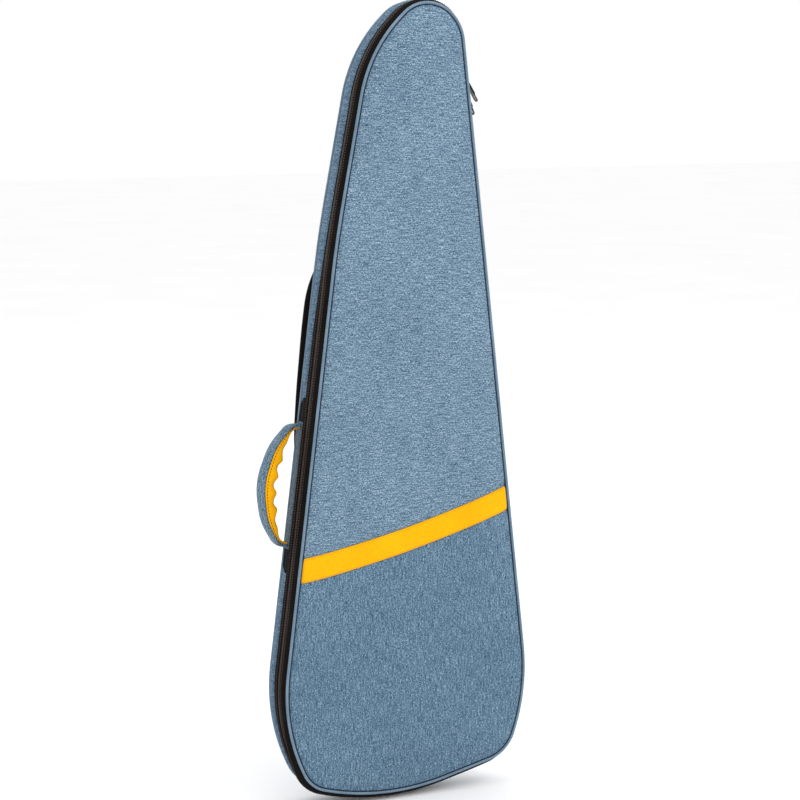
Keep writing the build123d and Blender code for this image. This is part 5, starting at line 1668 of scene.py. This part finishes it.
    # hanging tail with a folded, sewn end
    ty, tz = TAIL[0] + 0.75, TAIL[1]
    swing = 20.0 if m > 0 else -4.0
    tx = lambda f: mirror_x(m, BUCKLE_X + swing * f ** 1.3)
    pts = [local(38, 6.4), local(42, 6.7), (tx(0.02), ty + 0.2, tz - 5), (tx(0.14), ty + 0.9, tz - 30),
           (tx(0.5), ty + 0.6, tz - tail_len * 0.5), (tx(0.8), ty - 0.3, tz - tail_len * 0.8),
           (tx(1.0), ty + 0.4, tz - tail_len)]
    path = smooth3(pts, 4.0)
    piece = ribbon(side_name + "_tail_webbing", path, [(1, 0, 0.11 * m * swing / 20.0)] * len(path), WEB - 0.6, WEB_T, WEBBING)
    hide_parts(side_name + "_tail")
    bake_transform(piece)
    g = lambda d: tx(1 - d / tail_len)
    hem = smooth3([(g(24), ty + 0.4 - 1.5, tz - tail_len + 24), (g(12), ty + 0.5 - 1.5, tz - tail_len + 12),
                   (g(1), ty + 0.5 - 1.3, tz - tail_len + 1.0), (g(-0.6), ty + 0.4, tz - tail_len - 0.6)], 3.0)
    hem = ribbon(side_name + "_tail_hem", hem, [(1, 0, 0.11 * m * swing / 20.0)] * len(hem), WEB - 0.7, WEB_T, WEBBING)
    place(hem, tail, "black_webbing")
    k = 0
    for zz in (tz - tail_len + 21, tz - tail_len + 5):
        pts = [(g(zz - tz + tail_len) + q, ty + 1.25, zz + 0.11 * m * swing / 20.0 * q) for q in np.linspace(-13.5, 13.5, 12)]
        place(stitches(side_name + "_tail_stitches_%d" % k, pts, [(0, 1, 0)] * 12, THREAD_DARK, 2.6, 1.9, 0.32), tail, "black_webbing")
        k += 1

    # cloth triangle over the webbing's end
    wa = np.array(on_web(WL + 4))[[0, 2]]
    wb = np.array(on_web(WL + 40))[[0, 2]]
    def over_web(x, z):
        q = line_dist(np.array([x, z]), np.array([wa, wb]))
        return 3.4 * math.exp(-((max(0.0, q - 15.0) / 6.0) ** 2))
    tri = back_patch(side_name + "_anchor_cloth", ANCHORS[m], BLUE_BACK, lambda x, z, d: panel_out(x, z, 1) - 0.4,
                     lambda x, z, d: panel_out(x, z, 1) + 1.7 + (1 - math.exp(-d / 3.0)) * (0.7 + over_web(x, z)))
    place(tri, "body", "blue_fabric", side_name + "_strap_anchor")
    poly = ANCHORS[m]
    if m > 0:
        edges = [((poly[0]), (poly[1])), ((poly[4]), (poly[0]))]
    else:
        edges = [((poly[0]), (poly[1])), ((poly[4]), (poly[0]))]
    cx, cz = np.mean(poly, 0)
    for k, (a, b) in enumerate(edges):
        rim = []
        for f in np.linspace(0.0, 1.0, 40):
            x, z = a[0] + (b[0] - a[0]) * f, a[1] + (b[1] - a[1]) * f
            if inside(x, z) and edge_of(x, z)[0] > 5.4:
                rim.append((x, panel_out(x, z, 1) + 1.7 + over_web(x, z) * 0.95, z))
        if len(rim) > 4:
            # the folded rim gets the pale cloth of painted highlight
            v, f2, uv = loft(tube(rim, 0.95, 8))
            place(make(side_name + "_anchor_fold_%d" % k, v, f2, uv, FOLD_HIGHLIGHT), "body", "piping")
        for q, off in enumerate((3.0, 7.5)):
            pts = []
            for f in np.linspace(0.02, 0.98, 24):
                x, z = a[0] + (b[0] - a[0]) * f, a[1] + (b[1] - a[1]) * f
                n2 = np.array([-(b[1] - a[1]), b[0] - a[0]]) / math.dist(a, b)
                if ((np.array([cx, cz]) - np.array([x, z])) * n2).sum() < 0:
                    n2 = -n2
                x, z = x + n2[0] * off, z + n2[1] * off
                if inside(x, z) and edge_of(x, z)[0] > 6.5:
                    pts.append((x, panel_out(x, z, 1) + 1.74 + (1 - math.exp(-off / 3.0)) * (0.7 + over_web(x, z)), z))
            if len(pts) > 3:
                place(stitches(side_name + "_anchor_stitches_%d_%d" % (k, q), pts, [(0, 1, 0)] * len(pts), THREAD_BLUE, 3.2, 2.3, 0.28), "body", "blue_fabric")

# ------------------------------------------------------------------ room, light and camera

FLOOR_Z = float(row([0, 0, -8.0])[2])


def stage_mesh(name, verts, faces, mat):
    mesh = bpy.data.meshes.new(name)
    mesh.from_pydata(verts, [], faces)
    mesh.materials.append(mat)
    obj = bpy.data.objects.new(name, mesh)
    bpy.context.scene.collection.objects.link(obj)
    return obj


m = Mat("studio_floor", rough=0.9, Specular_IOR_Level=0.1)
v = m.noise(m.coords("Object"), 3.0, 2.0, 0.5)
FLOOR = m.finish(m.ramp(v, [(0.3, (0.965, 0.965, 0.965)), (0.7, (0.985, 0.985, 0.985))]))
stage_mesh("floor", [(-14, -14, FLOOR_Z), (14, -14, FLOOR_Z), (14, 14, FLOOR_Z), (-14, 14, FLOOR_Z)], [(0, 1, 2, 3)], FLOOR)

world = bpy.data.worlds.new("studio")
bpy.context.scene.world = world
world.use_nodes = True
bg = world.node_tree.nodes["Background"]
bg.inputs[0].default_value = (1.0, 1.0, 1.0, 1.0)
bg.inputs[1].default_value = 1.0

TARGET = Vector((-0.0179, -0.0354, -0.227))
AZ, EL, DIST = math.radians(-24.47), math.radians(8.64), 3.06506


def light(name, place_at, size, power, look=TARGET, size_y=None):
    data = bpy.data.lights.new(name, "AREA")
    data.shape = "RECTANGLE"
    data.size = size
    data.size_y = size_y or size
    data.energy = power
    obj = bpy.data.objects.new(name, data)
    obj.location = place_at
    obj.rotation_euler = (look - Vector(place_at)).to_track_quat("-Z", "Y").to_euler()
    bpy.context.scene.collection.objects.link(obj)
    return obj


light("key", (1.25, -2.1, 1.85), 1.6, 32, size_y=2.0)
light("fill", (-1.2, -3.0, 0.6), 2.2, 5, size_y=2.2)
light("top", (0.0, 0.4, 2.4), 2.6, 12)
light("back_key", (-1.6, 2.6, 1.6), 1.8, 18, size_y=2.2)
light("back_fill", (2.2, 2.2, 0.5), 2.0, 4, size_y=2.2)

cam_data = bpy.data.cameras.new("camera")
cam_data.lens = 106.6
cam_data.sensor_width = 36.0
cam_data.shift_x = 0.0241
cam_data.shift_y = 0.0046
cam = bpy.data.objects.new("camera", cam_data)
cam.location = TARGET + DIST * Vector((math.sin(AZ) * math.cos(EL), -math.cos(AZ) * math.cos(EL), math.sin(EL)))
cam.rotation_euler = (TARGET - cam.location).to_track_quat("-Z", "Y").to_euler()
bpy.context.scene.collection.objects.link(cam)
bpy.context.scene.camera = cam
bpy.context.scene.view_settings.view_transform = "Standard"
